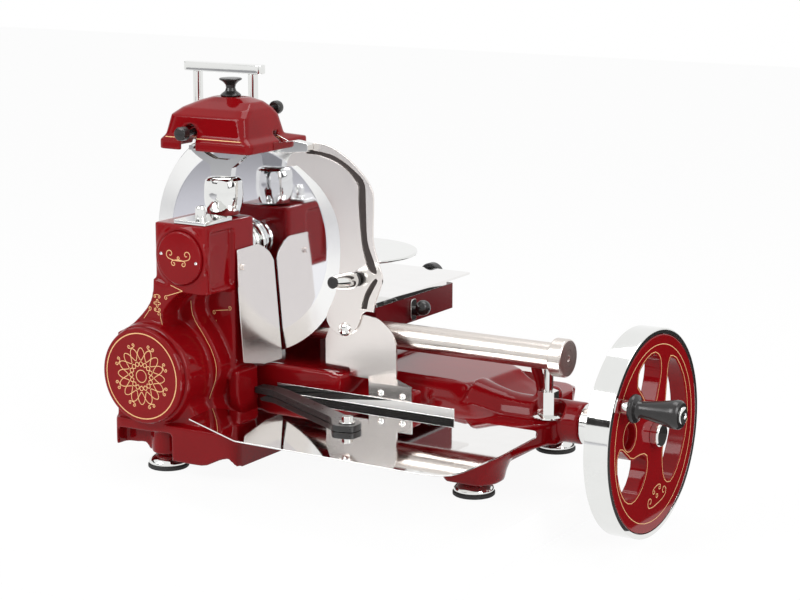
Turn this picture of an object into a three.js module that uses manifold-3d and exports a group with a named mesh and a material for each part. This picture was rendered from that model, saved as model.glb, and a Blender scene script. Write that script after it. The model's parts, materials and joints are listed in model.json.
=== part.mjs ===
// Hand crank meat slicer: a flywheel turns a round blade, and a carriage slides past it.
// Millimetres. X runs along the carriage's travel, Y to the back, Z up; the feet stand on Z = 0.
import * as THREE from 'three';
import { mergeVertices } from 'three/addons/utils/BufferGeometryUtils.js';
import Module from 'manifold-3d';

const wasm = await Module();
wasm.setup();

// Driving sizes
const GAP = 0.3;
const BLADE_RADIUS = 150;
const BLADE_THICK = 3;
const BLADE_Z = 281;
const AXLE_RADIUS = 12;
const AXLE_TAIL = 7;
const DRUM_X = -49;
const DRUM_Z = 127;
const DRUM_RADIUS = 66;
const WHEEL_Y = 50;
const WHEEL_Z = 87;
const WHEEL_RADIUS = 129.5;
const WHEEL_BACK = 531.5;
const WHEEL_FACE = WHEEL_BACK + 32;
const RIM_THICK = 7;
const GRIP_Y = WHEEL_Y - 0.71 * WHEEL_RADIUS;
const GRIP_Z = WHEEL_Z + 0.417 * WHEEL_RADIUS;
const GRIP_START = WHEEL_FACE + 11.5;
const GRIP_LENGTH = 65;
const SHAFT_RADIUS = 7;
const TUBE_Y = 30;
const TUBE_Z = 171.7;
const TUBE_RADIUS = 17;
const TUBE_LEFT = -158;
const TUBE_RIGHT = 437;
const POST_X = 428.6;
const BED_TOP = 91;
const BED_BOTTOM = 40;
const BED_FRONT = -38;
const BED_BACK = 215;
const BED_LEFT = -80;
const WALL = 8;
const RAISED_TOP = 124;
const HUMP_TOP = 120;
const FOOT_HEIGHT = 20;
const HEAD_TOP = 323;
const HEAD_FRONT = -145;
const SKIRT_FRONT = -158;
const TABLE_TOP = 216;
const CARRIAGE_LEFT = -140;
const CARRIAGE_RIGHT = 190;
const CARRIAGE_BACK = 210;
const PRESS_Y = 150;
const PRESS_TOP = 482;
const POST_RADIUS = 7;
const TRAY_Z = BED_TOP + GAP;
const COVER_LOW = BLADE_Z + BLADE_RADIUS - 26;
const COVER_TOP = COVER_LOW + 66;
const GEAR_MODULE = 2;
const DRIVE_TEETH = 26;
const PINION_TEETH = 13;
const BEVEL_TEETH = 18;
const CHAIN_PITCH = 8;
const LOWER_TEETH = 14;
const UPPER_TEETH = 11;

// The part's own origin: on the feet plane, under the middle of the machine.
const ORIGIN_X = 200;
const ORIGIN_Y = 5;

// Colours and finishes
const RED = { color: 0x8e0d16, roughness: 0.22, metalness: 0.1 };
const DARK_RED = { color: 0x6a0a10, roughness: 0.3, metalness: 0.1 };
const CHROME = { color: 0xe4e4e2, roughness: 0.08, metalness: 1 };
const STEEL = { color: 0xcfccc8, roughness: 0.28, metalness: 1 };
const MIRROR = { color: 0xdfe0e2, roughness: 0.05, metalness: 1 };
const BLACK = { color: 0x171515, roughness: 0.35, metalness: 0 };
const IRON = { color: 0x4a4a4c, roughness: 0.55, metalness: 0.8 };
const STONE = { color: 0xb9b2a4, roughness: 0.9, metalness: 0 };

const slicer = new THREE.Group();
slicer.name = 'hand_crank_meat_slicer';
slicer.position.set(-ORIGIN_X, -ORIGIN_Y, 0);

// A solid from a three.js geometry, turned right side out if its faces point in.
function solid(geometry) {
  const bare = geometry.clone();
  bare.deleteAttribute('normal');
  bare.deleteAttribute('uv');
  const merged = mergeVertices(bare, 1e-4);
  const points = merged.attributes.position.array;
  const faces = new Uint32Array(merged.index.array);
  const corner = (i) => new THREE.Vector3().fromArray(points, faces[i] * 3);
  let volume = 0;
  for (let i = 0; i < faces.length; i += 3) {
    volume += corner(i).dot(corner(i + 1).cross(corner(i + 2)));
  }
  if (volume < 0) {
    faces.reverse();
  }
  return new wasm.Manifold(new wasm.Mesh({ numProp: 3, vertProperties: points, triVerts: faces }));
}

// Names a finished solid and puts it in the machine.
function add(name, shape, finish) {
  const mesh = shape.getMesh();
  const geometry = new THREE.BufferGeometry();
  geometry.setAttribute('position', new THREE.BufferAttribute(mesh.vertProperties, 3));
  geometry.setIndex(new THREE.BufferAttribute(mesh.triVerts, 1));
  geometry.computeVertexNormals();
  const part = new THREE.Mesh(geometry, new THREE.MeshStandardMaterial(finish));
  part.name = name;
  slicer.add(part);
}

function joined(...pieces) {
  return pieces.reduce((whole, piece) => whole.add(piece));
}

// A closed outline from points [a, b] or [a, b, corner radius].
function outline(points) {
  const path = new THREE.Shape();
  points.forEach(([a, b, radius = 0], i) => {
    const corner = new THREE.Vector2(a, b);
    const before = new THREE.Vector2(...points.at(i - 1)).sub(corner).normalize();
    const after = new THREE.Vector2(...points[(i + 1) % points.length]).sub(corner).normalize();
    const enter = corner.clone().addScaledVector(before, radius);
    const leave = corner.clone().addScaledVector(after, radius);
    if (i === 0) {
      path.moveTo(enter.x, enter.y);
    } else {
      path.lineTo(enter.x, enter.y);
    }
    if (radius > 0) {
      path.quadraticCurveTo(a, b, leave.x, leave.y);
    }
  });
  path.closePath();
  return path;
}

// A closed outline whose stretches are each a smooth curve through their points.
function curved(stretches) {
  const path = new THREE.Shape();
  path.moveTo(...stretches[0][0]);
  for (const stretch of stretches) {
    path.lineTo(...stretch[0]);
    if (stretch.length > 1) {
      path.splineThru(stretch.slice(1).map(([a, b]) => new THREE.Vector2(a, b)));
    }
  }
  path.closePath();
  return path;
}

function circle(a, b, radius) {
  const path = new THREE.Shape();
  path.absarc(a, b, radius, 0, Math.PI * 2);
  return path;
}

// The outline of a loop round two circles, as a belt lies on two pulleys.
function belt([ax, ay, ar], [bx, by, br]) {
  const along = Math.atan2(by - ay, bx - ax);
  const lean = Math.acos((ar - br) / Math.hypot(bx - ax, by - ay));
  const path = new THREE.Shape();
  path.absarc(ax, ay, ar, along + lean, along - lean + Math.PI * 2);
  path.absarc(bx, by, br, along - lean, along + lean);
  path.closePath();
  return path;
}

const AXES = {
  XY: [[1, 0, 0], [0, 1, 0], [0, 0, 1]],
  XZ: [[1, 0, 0], [0, 0, 1], [0, -1, 0]],
  YZ: [[0, 1, 0], [0, 0, 1], [1, 0, 0]],
};

function turnTo(geometry, axes) {
  const [x, y, z] = axes.map((axis) => new THREE.Vector3(...axis));
  return geometry.applyMatrix4(new THREE.Matrix4().makeBasis(x, y, z));
}

// An outline in one plane, drawn out along the third axis between two places.
function prism(plane, shape, from, to, holes = [], curveSegments = 3) {
  const face = Array.isArray(shape) ? outline(shape) : shape;
  face.holes = holes;
  const settings = { depth: to - from, bevelEnabled: false, curveSegments };
  const body = turnTo(new THREE.ExtrudeGeometry(face, settings), AXES[plane]);
  const shift = { XY: [0, 0, from], XZ: [0, to, 0], YZ: [from, 0, 0] }[plane];
  return solid(body.translate(...shift));
}

function box([x0, x1], [y0, y1], [z0, z1]) {
  return prism('XY', [[x0, y0], [x1, y0], [x1, y1], [x0, y1]], z0, z1);
}

function rounded([a0, a1], [b0, b1], radius) {
  return [[a0, b0, radius], [a1, b0, radius], [a1, b1, radius], [a0, b1, radius]];
}

const SPINS = {
  X: { axes: [[0, 1, 0], [1, 0, 0], [0, 0, -1]], place: (a, b) => [0, a, b] },
  Y: { axes: [[1, 0, 0], [0, 1, 0], [0, 0, 1]], place: (a, b) => [a, 0, b] },
  Z: { axes: [[1, 0, 0], [0, 0, 1], [0, -1, 0]], place: (a, b) => [a, b, 0] },
};

// A profile of [radius, place along the axis] turned round an axis through a point.
function turned(axis, [a, b], profile, segments = 20) {
  const points = profile.map(([radius, along]) => new THREE.Vector2(radius, along));
  const onAxis = profile[0][0] === 0 && profile.at(-1)[0] === 0;
  if (!onAxis) {
    points.push(points[0].clone());
  }
  const body = turnTo(new THREE.LatheGeometry(points, segments), SPINS[axis].axes);
  return solid(body.translate(...SPINS[axis].place(a, b)));
}

function rod(axis, at, radius, from, to, segments = 20) {
  return turned(axis, at, [[0, from], [radius, from], [radius, to], [0, to]], segments);
}

function pipe(axis, at, inner, outer, from, to, segments = 20) {
  return turned(axis, at, [[inner, from], [outer, from], [outer, to], [inner, to]], segments);
}

// A skin over rings of the same number of points, closed at both ends.
function loft(rings) {
  const count = rings[0].length;
  const middle = (ring) => [0, 1, 2].map((k) => ring.reduce((sum, p) => sum + p[k], 0) / count);
  const last = rings.length - 1;
  const points = [...rings.flat(), middle(rings[0]), middle(rings[last])];
  const faces = [];
  for (let i = 0; i < count; i++) {
    const next = (i + 1) % count;
    for (let r = 0; r < last; r++) {
      const [a, b] = [r * count + i, r * count + next];
      faces.push(a, b, b + count, a, b + count, a + count);
    }
    faces.push(points.length - 2, next, i);
    faces.push(points.length - 1, last * count + i, last * count + next);
  }
  const geometry = new THREE.BufferGeometry();
  geometry.setAttribute('position', new THREE.Float32BufferAttribute(points.flat(), 3));
  geometry.setIndex(faces);
  return solid(geometry);
}

// The corners of a gear, with flanks a little thin so that a pair turns freely.
function gearCorners(teeth, size, phase, addendum = 0.9, dedendum = 1.25) {
  const pitch = (Math.PI * 2) / teeth;
  const tip = size * (teeth / 2 + addendum);
  const root = size * (teeth / 2 - dedendum);
  const corners = [];
  for (let i = 0; i < teeth; i++) {
    const middle = phase + i * pitch;
    for (const [radius, turn] of [[root, -0.3], [tip, -0.12], [tip, 0.12], [root, 0.3]]) {
      const angle = middle + turn * pitch;
      corners.push([radius * Math.cos(angle), radius * Math.sin(angle)]);
    }
  }
  return corners;
}

function spurGear([x, z], teeth, size, phase, from, to, bore, depths) {
  const corners = gearCorners(teeth, size, phase, ...depths).map(([a, b]) => [a + x, b + z]);
  return prism('XZ', corners, from, to, [circle(x, z, bore)], 8);
}

// Feet: a rubber pad under a chrome bell
const footProfile = [
  [0, 0], [26.5, 0], [26.5, 6], [24, 6.3], [23, 10], [17, 16], [11, FOOT_HEIGHT], [0, FOOT_HEIGHT],
];
const feet = {
  foot_front_left: [-40, -129],
  foot_front_right: [359, -32],
  foot_back_right: [352, 202],
  foot_back_left: [-41, 194],
};
for (const [name, place] of Object.entries(feet)) {
  add(name, turned('Z', place, footProfile), CHROME);
}

// Bed
const TUNNEL_RADIUS = 26.5;
const TUNNEL_END = 472;
const WASHER_RADIUS = 20;
const humpLow = [
  [156, 184], [330, 184], [372, 160], [384, 120], [384, 40], [352, -14], [300, -24], [156, -24],
];
const humpHigh = [
  [156, 164], [306, 163], [330, 144], [325, 127], [321, 66], [307, 36], [282, 43], [156, 46],
];

// A ring of the hump: 0 is its foot and 1 its flat top.
function humpRing(share, height, inset = 0) {
  return humpLow.map(([x, y], i) => {
    const place = new THREE.Vector2(x, y).lerp(new THREE.Vector2(...humpHigh[i]), share);
    place.lerp(new THREE.Vector2(270, 95), inset);
    return [place.x, place.y, height];
  });
}

function bed() {
  const plan = [
    [BED_LEFT, BED_FRONT, 6], [312, BED_FRONT, 10], [324, -62, 14], [392, -62, 18], [412, -34, 12],
    [440, 12, 10], [444, 46, 12], [404, 78, 12], [390, 110, 10], [388, 182, 12],
    [368, BED_BACK, 14], [-62, BED_BACK, 12], [BED_LEFT, 196, 12],
  ];
  const belly = [
    [BED_LEFT + WALL, BED_FRONT + WALL, 4], [350, BED_FRONT + WALL, 4], [384, 0, 6],
    [380, 180, 8], [362, 207, 8], [-58, 207, 8], [BED_LEFT + WALL, 194, 8],
  ];
  const raisedFoot = rounded([-76, 160], [-28, 168], 6);
  const raised = prism('XY', raisedFoot, BED_TOP - 4, RAISED_TOP);
  const ridge = box([42, 143], [-28, -14], [RAISED_TOP - 4, RAISED_TOP + 3]);
  const hump = loft([
    humpRing(0, BED_TOP - 4), humpRing(0, BED_TOP), humpRing(0.22, BED_TOP + 4),
    humpRing(0.5, BED_TOP + 10), humpRing(0.8, BED_TOP + 19), humpRing(1, HUMP_TOP),
  ]);
  const bracketPad = box([203, 270], [-28, -6], [BED_TOP - 4, 116]);
  const shell = joined(prism('XY', plan, BED_BOTTOM, BED_TOP), raised, ridge, hump, bracketPad)
    .subtract(prism('XY', belly, BED_BOTTOM - 1, BED_TOP - WALL))
    .subtract(box([-72, 152], [-20, 160], [BED_TOP - WALL - 1, RAISED_TOP - WALL]))
    .subtract(loft([
      humpRing(0, BED_TOP - WALL - 1, 0.12), humpRing(0.5, BED_TOP + 1, 0.14),
      humpRing(1, HUMP_TOP - WALL, 0.2),
    ]))
    .subtract(prism('XZ', [[397, 30], [397, 50], [412, 54], [425, 60], [450, 67], [450, 30]], -70, 120));
  const lobe = (place) => turned('Z', place, [
    [0, FOOT_HEIGHT + GAP], [18, FOOT_HEIGHT + GAP], [20, BED_BOTTOM + 6], [26, BED_TOP - 4],
    [0, BED_TOP - 4],
  ]);
  const frontLobe = turned('Z', feet.foot_front_right, [
    [0, FOOT_HEIGHT + GAP], [38, FOOT_HEIGHT + GAP], [41, 34], [46, 46], [54, 60], [54, BED_TOP - 4],
    [0, BED_TOP - 4],
  ], 36).intersect(prism('XY', [[290, -64], [418, -64, 40], [418, 40], [290, 40]], 0, BED_TOP));
  const at = [WHEEL_Y, WHEEL_Z];
  const tunnel = turned('X', at, [
    [0, 318], [40, 318], [33, 342], [28, 364], [TUNNEL_RADIUS, 380], [TUNNEL_RADIUS, TUNNEL_END],
    [0, TUNNEL_END],
  ], 36);
  const lugTop = BED_TOP + 3.6;
  const lug = rod('Z', [POST_X, TUBE_Y], 17.5, 62, lugTop, 28);
  const cornerBoss = turned('Z', [390, 114], [[0, 60], [14, 60], [14, 105], [9, 111], [0, 112]]);
  const stayEdge = [[52, 96], [74, 90], [72, 118, 6], [56, 142, 8], [48, 158], [42, TUBE_Z - 8],
    [TUBE_Y - 2, TUBE_Z - 12], [TUBE_Y + 2, 150, 6], [46, 128, 8]];
  const rightStay = prism('YZ', stayEdge, 401, 410);
  const leftStay = joined(
    box([TUBE_LEFT, TUBE_LEFT + 14], [14, 46], [70, TUBE_Z - 8]),
    prism('XZ', [[TUBE_LEFT, 58, 8], [BED_LEFT + 4, 46], [BED_LEFT + 4, 88], [TUBE_LEFT + 14, 92, 6],
      [TUBE_LEFT, 92]], 16, 44),
  );
  return joined(
    shell, frontLobe, lobe(feet.foot_back_right), lobe(feet.foot_back_left), tunnel, lug,
    cornerBoss, rightStay, leftStay,
  )
    .subtract(rod('X', at, SHAFT_RADIUS + 0.4, -60, TUNNEL_END + 1))
    .subtract(rod('Y', [DRUM_X, WHEEL_Z], SHAFT_RADIUS + 0.4, BED_FRONT - 1, 0))
    .subtract(rod('Z', [POST_X, TUBE_Y], WASHER_RADIUS + 0.5, lugTop, 150))
    .subtract(rod('X', [TUBE_Y, TUBE_Z], TUBE_RADIUS + GAP, TUBE_LEFT - 1, TUBE_RIGHT, 36));
}
add('base_casting', bed(), RED);

// Column
const HEAD_LEFT = -44;
const HEAD_RIGHT = 38;
const COLUMN_BACK = BED_FRONT - GAP;
const RECESS_BACK = -86;
const BLOCK_RIGHT = 45;

function column() {
  const skirtEdge = [
    [-107, 64], [-107, 26, 3], [-70, 29, 5], [-61, 12.5, 5], [-22, 18, 6], [16, 17, 8],
    [39, 18, 6], [66, 31, 6], [77, 33, 3], [88, 20, 2], [88, 64, 6],
  ];
  const webRight = [
    [34, 62], [9, 93], [15, 142], [0, 170], [-16, 181], [-29, 191], [-31, 205], [-16, 225], [4, 240],
  ];
  const webLeft = [[HEAD_LEFT, 250], [-50, 220], [-77, 190], [-104, 174]];
  const ribRight = [[50, 62], [19, 88], [32, 130], [27, 153], [14, 176], [-4, 198], [-7, 219], [6, 240]];
  const pocket = [[-101, 0], [-101, 50, 5], [-13, 53, 5], [-13, 0]];
  const pocketWall = prism('XZ', skirtEdge, -136, -130)
    .intersect(box([-103, -11], [-140, -126], [0, 62]))
    .subtract(rod('Z', feet.foot_front_left, 28, 0, FOOT_HEIGHT + GAP));
  const block = [[-91, 129, 5], [-91, 86, 8], [-80, 66, 3], [-46, 66], [-46, 129]];
  const outside = joined(
    prism('XY', rounded([HEAD_LEFT, HEAD_RIGHT], [HEAD_FRONT, COLUMN_BACK], 7), 235, HEAD_TOP),
    prism('XY', rounded([HEAD_LEFT, HEAD_RIGHT], [RECESS_BACK, COLUMN_BACK], 4), 60, 240),
    prism('YZ', block, 30, BLOCK_RIGHT),
    prism('XZ', curved([webRight, webLeft, [[-107, 127]], [[-107, 62]]]), -148, COLUMN_BACK),
    prism('XZ', curved([ribRight, [[-30, 240]], [[-30, 62]]]), -112, COLUMN_BACK),
    turned('Y', [DRUM_X, DRUM_Z], [
      [0, -160], [DRUM_RADIUS - 3, -160], [DRUM_RADIUS, -156], [DRUM_RADIUS, COLUMN_BACK - 2],
      [DRUM_RADIUS - 2, COLUMN_BACK], [0, COLUMN_BACK],
    ], 48),
    prism('XZ', skirtEdge, SKIRT_FRONT, COLUMN_BACK).intersect(
      prism('XY', rounded([-107, 88], [SKIRT_FRONT, COLUMN_BACK], 12), 0, 80)),
    pipe('Y', [0, BLADE_Z], 34.6, 39, HEAD_FRONT - 3, HEAD_FRONT + 5, 40),
  );
  const foot = rod('Z', feet.foot_front_left, 21, FOOT_HEIGHT + GAP, 62);
  const chainWay = belt([DRUM_X, DRUM_Z, 26], [0, BLADE_Z, 22]);
  return outside
    .subtract(box([-101, 82], [SKIRT_FRONT + 6, COLUMN_BACK - 6], [0, 57]))
    .subtract(prism('XZ', pocket, SKIRT_FRONT - 1, SKIRT_FRONT + 8))
    .subtract(prism('YZ', rounded([-136, RECESS_BACK], [241, 314], 8), HEAD_RIGHT - 5.5, HEAD_RIGHT + 1))
    .add(pocketWall)
    .add(foot)
    .subtract(rod('Y', [DRUM_X, DRUM_Z], 54, -161, -56, 48))
    .subtract(rod('Y', [0, BLADE_Z], 26, -161, -56, 36))
    .subtract(prism('XZ', chainWay, -76, -56, [], 10))
    .subtract(rod('Y', [DRUM_X, WHEEL_Z], 31, -106, -84, 32))
    .subtract(rod('Y', [DRUM_X, WHEEL_Z], SHAFT_RADIUS + 0.4, -107, -30))
    .subtract(rod('Y', [DRUM_X, DRUM_Z], 6.3, -57, -46))
    .subtract(rod('Y', [0, BLADE_Z], AXLE_RADIUS + 0.4, -57, -30));
}
add('column_casting', column(), RED);

add('lower_gear_cover', turned('Y', [DRUM_X, DRUM_Z], [
  [0, -170], [58, -170], [61, -169], [62.5, -166], [62.5, -160 - GAP], [53.5, -160 - GAP],
  [53.5, -156], [0, -156],
], 48), RED);
add('upper_gear_cover', turned('Y', [0, BLADE_Z], [
  [0, -152], [31, -152], [34, -150], [34, HEAD_FRONT - GAP], [25.5, HEAD_FRONT - GAP],
  [25.5, -142], [0, -142],
], 40), RED);
add('column_top_plate', joined(
  prism('XY', rounded([-14, 36], [-143, -84], 3), HEAD_TOP + GAP, HEAD_TOP + 5),
  turned('Z', [8, -114], [[0, 327], [7, 327], [7, 339], [5, 343], [0, 343]], 20),
), CHROME);

// Blade and its axle
const bladeFront = -BLADE_THICK / 2;
const bladeBack = BLADE_THICK / 2;
const PILOT_RADIUS = 20;
add('blade', turned('Y', [0, BLADE_Z], [
  [PILOT_RADIUS + GAP, bladeFront], [BLADE_RADIUS - 27, bladeFront],
  [BLADE_RADIUS - 24, bladeFront + 0.6], [BLADE_RADIUS - 0.6, bladeBack - 0.4],
  [BLADE_RADIUS, bladeBack], [PILOT_RADIUS + GAP, bladeBack],
], 72), MIRROR);
add('blade_axle', turned('Y', [0, BLADE_Z], [
  [0, -110], [AXLE_TAIL, -110], [AXLE_TAIL, -58], [AXLE_RADIUS, -58], [AXLE_RADIUS, -7.5],
  [30, -7.5], [30, bladeFront - GAP], [PILOT_RADIUS, bladeFront - GAP],
  [PILOT_RADIUS, bladeBack - GAP], [0, bladeBack - GAP],
], 28), STEEL);
add('axle_housing', pipe('Y', [0, BLADE_Z], AXLE_RADIUS + 1, 24, COLUMN_BACK + GAP, -8, 36), CHROME);

// Chain drive in the column
const sprocketRadius = (teeth) => CHAIN_PITCH / 2 / Math.sin(Math.PI / teeth);
const lowerRadius = sprocketRadius(LOWER_TEETH);
const upperRadius = sprocketRadius(UPPER_TEETH);
function sprocket(at, teeth, bore) {
  const size = (sprocketRadius(teeth) * 2) / teeth;
  return spurGear(at, teeth, size, 0, -69, -63, bore, [0.05, 0.9]);
}
const chainLoop = belt([DRUM_X, DRUM_Z, lowerRadius + 3.4], [0, BLADE_Z, upperRadius + 3.4]);
const chainInside = belt([DRUM_X, DRUM_Z, lowerRadius + 0.8], [0, BLADE_Z, upperRadius + 0.8]);
add('drive_chain', prism('XZ', chainLoop, -70, -62, [chainInside], 12), IRON);
add('upper_sprocket', sprocket([0, BLADE_Z], UPPER_TEETH, AXLE_TAIL + GAP), IRON);

// Gears: flywheel shaft, bevel pair, cross shaft, spur pair
const drivePhase = Math.PI / 2;
const pinionPhase = -Math.PI / 2 + Math.PI / PINION_TEETH;
add('pinion', joined(
  rod('Y', [DRUM_X, DRUM_Z], 6, -112, -46.5, 20),
  prism('XZ', gearCorners(PINION_TEETH, GEAR_MODULE, pinionPhase).map(
    ([a, b]) => [a + DRUM_X, b + DRUM_Z]), -100, -88),
  sprocket([DRUM_X, DRUM_Z], LOWER_TEETH, 5.5),
), IRON);
add('drive_gear', spurGear([DRUM_X, WHEEL_Z], DRIVE_TEETH, GEAR_MODULE, drivePhase, -100, -88,
  SHAFT_RADIUS + GAP, []), IRON);

const bevelRadius = (BEVEL_TEETH * GEAR_MODULE) / 2;
const bevelRing = (phase, share, place) => gearCorners(BEVEL_TEETH, GEAR_MODULE, phase, 0.8, 1.3)
  .map(([a, b]) => place(a * share, b * share, bevelRadius * share));
function bevelGear(phase, place) {
  return loft([bevelRing(phase, 1, place), bevelRing(phase, 0.62, place)]);
}
const onWheelShaft = (a, b, along) => [DRUM_X + along, WHEEL_Y + a, WHEEL_Z + b];
const onCrossShaft = (a, b, along) => [DRUM_X + a, WHEEL_Y - along, WHEEL_Z + b];
const wheelAt = [WHEEL_Y, WHEEL_Z];
const crossAt = [DRUM_X, WHEEL_Z];
add('flywheel_bevel_gear', bevelGear(Math.PI, onWheelShaft)
  .add(rod('X', wheelAt, 12, DRUM_X + bevelRadius - 1, DRUM_X + bevelRadius + 9))
  .subtract(rod('X', wheelAt, SHAFT_RADIUS + GAP, DRUM_X, 0)), IRON);
add('cross_bevel_gear', bevelGear(Math.PI / BEVEL_TEETH, onCrossShaft)
  .add(rod('Y', crossAt, 12, WHEEL_Y - bevelRadius - 9, WHEEL_Y - bevelRadius + 1))
  .subtract(rod('Y', crossAt, SHAFT_RADIUS + GAP, 0, WHEEL_Y)), IRON);
const shaftEnd = bevelRadius * 0.62 + 0.2;
add('cross_shaft', rod('Y', crossAt, SHAFT_RADIUS, -104, WHEEL_Y - shaftEnd, 20), STEEL);
add('flywheel_shaft', rod('X', wheelAt, SHAFT_RADIUS, DRUM_X + shaftEnd, WHEEL_FACE - 1, 20), STEEL);

// Flywheel
const DISC_BACK = WHEEL_FACE - 22;
const discRadius = WHEEL_RADIUS - RIM_THICK - GAP;
add('shaft_collar', pipe('X', wheelAt, SHAFT_RADIUS + GAP, 26, TUNNEL_END + GAP, DISC_BACK - GAP, 36),
  CHROME);
// Openings are laid out on a wheel of radius 123 and follow the real one.
const openingScale = WHEEL_RADIUS / 123;
const wheelPoints = (points) => points.map(
  ([a, b]) => [a * openingScale + WHEEL_Y, b * openingScale + WHEEL_Z]);
const upperOpening = curved([wheelPoints([
  [-46, 66], [-44, 80], [-30, 90], [-7, 95.5], [9, 88], [13, 72], [7, 52], [-3, 33], [-18, 31],
  [-26, 46], [-37, 58], [-46, 66],
])]);
const sideOpening = curved([wheelPoints([
  [41, 82], [57, 76], [79, 50], [89, 20], [90, -5], [82, -30], [66, -54], [48, -66], [33, -60],
  [27, -44], [26, -22], [34, 0], [30, 26], [33, 54], [36, 74], [41, 82],
])]);
const lowerOpening = curved([wheelPoints([
  [-96, -8], [-95, -26], [-85, -47], [-70, -62], [-52, -66], [-32, -56], [-20, -38], [-22, -22],
  [-40, -18], [-60, -18], [-78, -6], [-90, 0], [-96, -8],
])]);
const openings = [upperOpening, sideOpening, lowerOpening];
add('flywheel', openings.reduce(
  (disc, hole) => disc.subtract(prism('YZ', hole, DISC_BACK - 1, WHEEL_FACE + 1, [], 2)),
  rod('X', wheelAt, discRadius, DISC_BACK, WHEEL_FACE, 72),
)
  .subtract(rod('X', wheelPoints([[-66, 12]])[0], 15 * openingScale, WHEEL_FACE - 10, WHEEL_FACE + 1, 24))
  .subtract(rod('X', wheelAt, SHAFT_RADIUS + GAP, DISC_BACK - 1, WHEEL_FACE + 1))
  .subtract(rod('X', [GRIP_Y, GRIP_Z], 5 + GAP, WHEEL_FACE - 14, WHEEL_FACE + 1)), RED);
add('flywheel_rim', pipe('X', wheelAt, WHEEL_RADIUS - RIM_THICK, WHEEL_RADIUS, WHEEL_BACK, WHEEL_FACE,
  72), CHROME);
add('flywheel_hub_cap', turned('X', wheelAt, [
  [0, WHEEL_FACE + GAP], [15, WHEEL_FACE + GAP], [15, WHEEL_FACE + 9], [12, WHEEL_FACE + 12],
  [0, WHEEL_FACE + 12],
], 24), CHROME);

// Crank grip on its pin
const gripAt = [GRIP_Y, GRIP_Z];
const gripEnd = GRIP_START + GRIP_LENGTH;
add('crank_pin', turned('X', gripAt, [
  [0, WHEEL_FACE - 13], [5, WHEEL_FACE - 13], [5, WHEEL_FACE + GAP], [9, WHEEL_FACE + GAP],
  [9, GRIP_START - GAP], [4, GRIP_START - GAP], [4, gripEnd - 1], [0, gripEnd - 1],
], 20), CHROME);
add('crank_grip', turned('X', gripAt, [
  [4.4, GRIP_START], [14, GRIP_START], [17.5, GRIP_START + 3], [17.5, GRIP_START + 6],
  [11, GRIP_START + 9], [10, GRIP_START + 14], [15, gripEnd - 20], [17.5, gripEnd - 8],
  [16, gripEnd - 1.5], [12, gripEnd], [4.4, gripEnd],
], 24), BLACK);
add('grip_end_screw', turned('X', gripAt, [
  [0, gripEnd + GAP], [10.5, gripEnd + GAP], [9, gripEnd + 2.5], [0, gripEnd + 3],
], 24), CHROME);

// Guide tube and its post
const tubeAt = [TUBE_Y, TUBE_Z];
add('guide_tube', rod('X', tubeAt, TUBE_RADIUS, TUBE_LEFT, TUBE_RIGHT - GAP, 36), CHROME);
add('guide_tube_cap', turned('X', tubeAt, [
  [0, TUBE_RIGHT], [22.5, TUBE_RIGHT], [23.9, TUBE_RIGHT + 1.5], [23.9, TUBE_RIGHT + 17],
  [22.4, TUBE_RIGHT + 18.8], [0, TUBE_RIGHT + 18.8],
], 36), CHROME);
const postAt = [POST_X, TUBE_Y];
const postFoot = BED_TOP + 3.6 + GAP;
add('tube_post', joined(
  turned('Z', postAt, [
    [0, postFoot], [WASHER_RADIUS, postFoot], [WASHER_RADIUS, postFoot + 1.5], [14, 99], [0, 99],
  ], 28),
  rod('Z', postAt, 13, 97, 128, 6),
  rod('Z', postAt, 6, 127, 162, 20),
).subtract(rod('X', tubeAt, TUBE_RADIUS + GAP, 400, TUBE_RIGHT, 36)), CHROME);

// Carriage: frame, rear rail, product table
const CARRIAGE_FRONT = 10;
const RAIL_TOP = 106;
const legX = [-75, -15];
const sleeves = [[CARRIAGE_LEFT, CARRIAGE_LEFT + 36], [CARRIAGE_RIGHT - 36, CARRIAGE_RIGHT]];
function carriage() {
  const sides = rounded([CARRIAGE_LEFT, CARRIAGE_RIGHT], [CARRIAGE_FRONT, CARRIAGE_BACK], 6);
  const inside = [[CARRIAGE_LEFT + 6, CARRIAGE_RIGHT - 6], [CARRIAGE_FRONT + 6, CARRIAGE_BACK - 6]];
  let frame = prism('XY', sides, 175, 209).subtract(box(...inside, [174, 203]));
  for (const reach of sleeves) {
    frame = frame.add(box(reach, [CARRIAGE_FRONT, TUBE_Y + 20], [TUBE_Z, 205]));
    frame = frame.add(rod('X', tubeAt, 20, ...reach, 32));
  }
  const leg = box(legX, [190, 206], [RAIL_TOP + GAP, 180]);
  return frame.add(leg).subtract(
    rod('X', tubeAt, TUBE_RADIUS + GAP, CARRIAGE_LEFT - 1, CARRIAGE_RIGHT + 1, 36));
}
add('carriage_frame', carriage(), DARK_RED);
add('rear_rail', box([-76, 340], [188, 208], [BED_TOP + GAP, RAIL_TOP]), STEEL);

const tablePlan = [
  [CARRIAGE_LEFT, 10, 4], [CARRIAGE_RIGHT, 10, 3], [CARRIAGE_RIGHT, 255, 3], [-212, 255, 6],
  [-212, 122, 4], [CARRIAGE_LEFT, 122],
];
const KNOB_X = 122;
const KNOB_Z = 205;
add('product_table', joined(
  prism('XY', tablePlan, TABLE_TOP - 3, TABLE_TOP),
  box([-120, -100], [20, 200], [209 + GAP, TABLE_TOP - 2]),
  box([CARRIAGE_RIGHT - 5, CARRIAGE_RIGHT], [13, 190], [209 + GAP, TABLE_TOP - 2]),
  box([KNOB_X - 12, KNOB_X + 12], [249, 255], [194, TABLE_TOP - 2]),
), STEEL);
add('feed_knob', turned('Y', [KNOB_X, KNOB_Z], [
  [0, 255 + GAP], [7, 255 + GAP], [7, 258], [15, 259], [16, 262], [16, 271], [13, 275], [0, 276],
], 24), BLACK);

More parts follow.
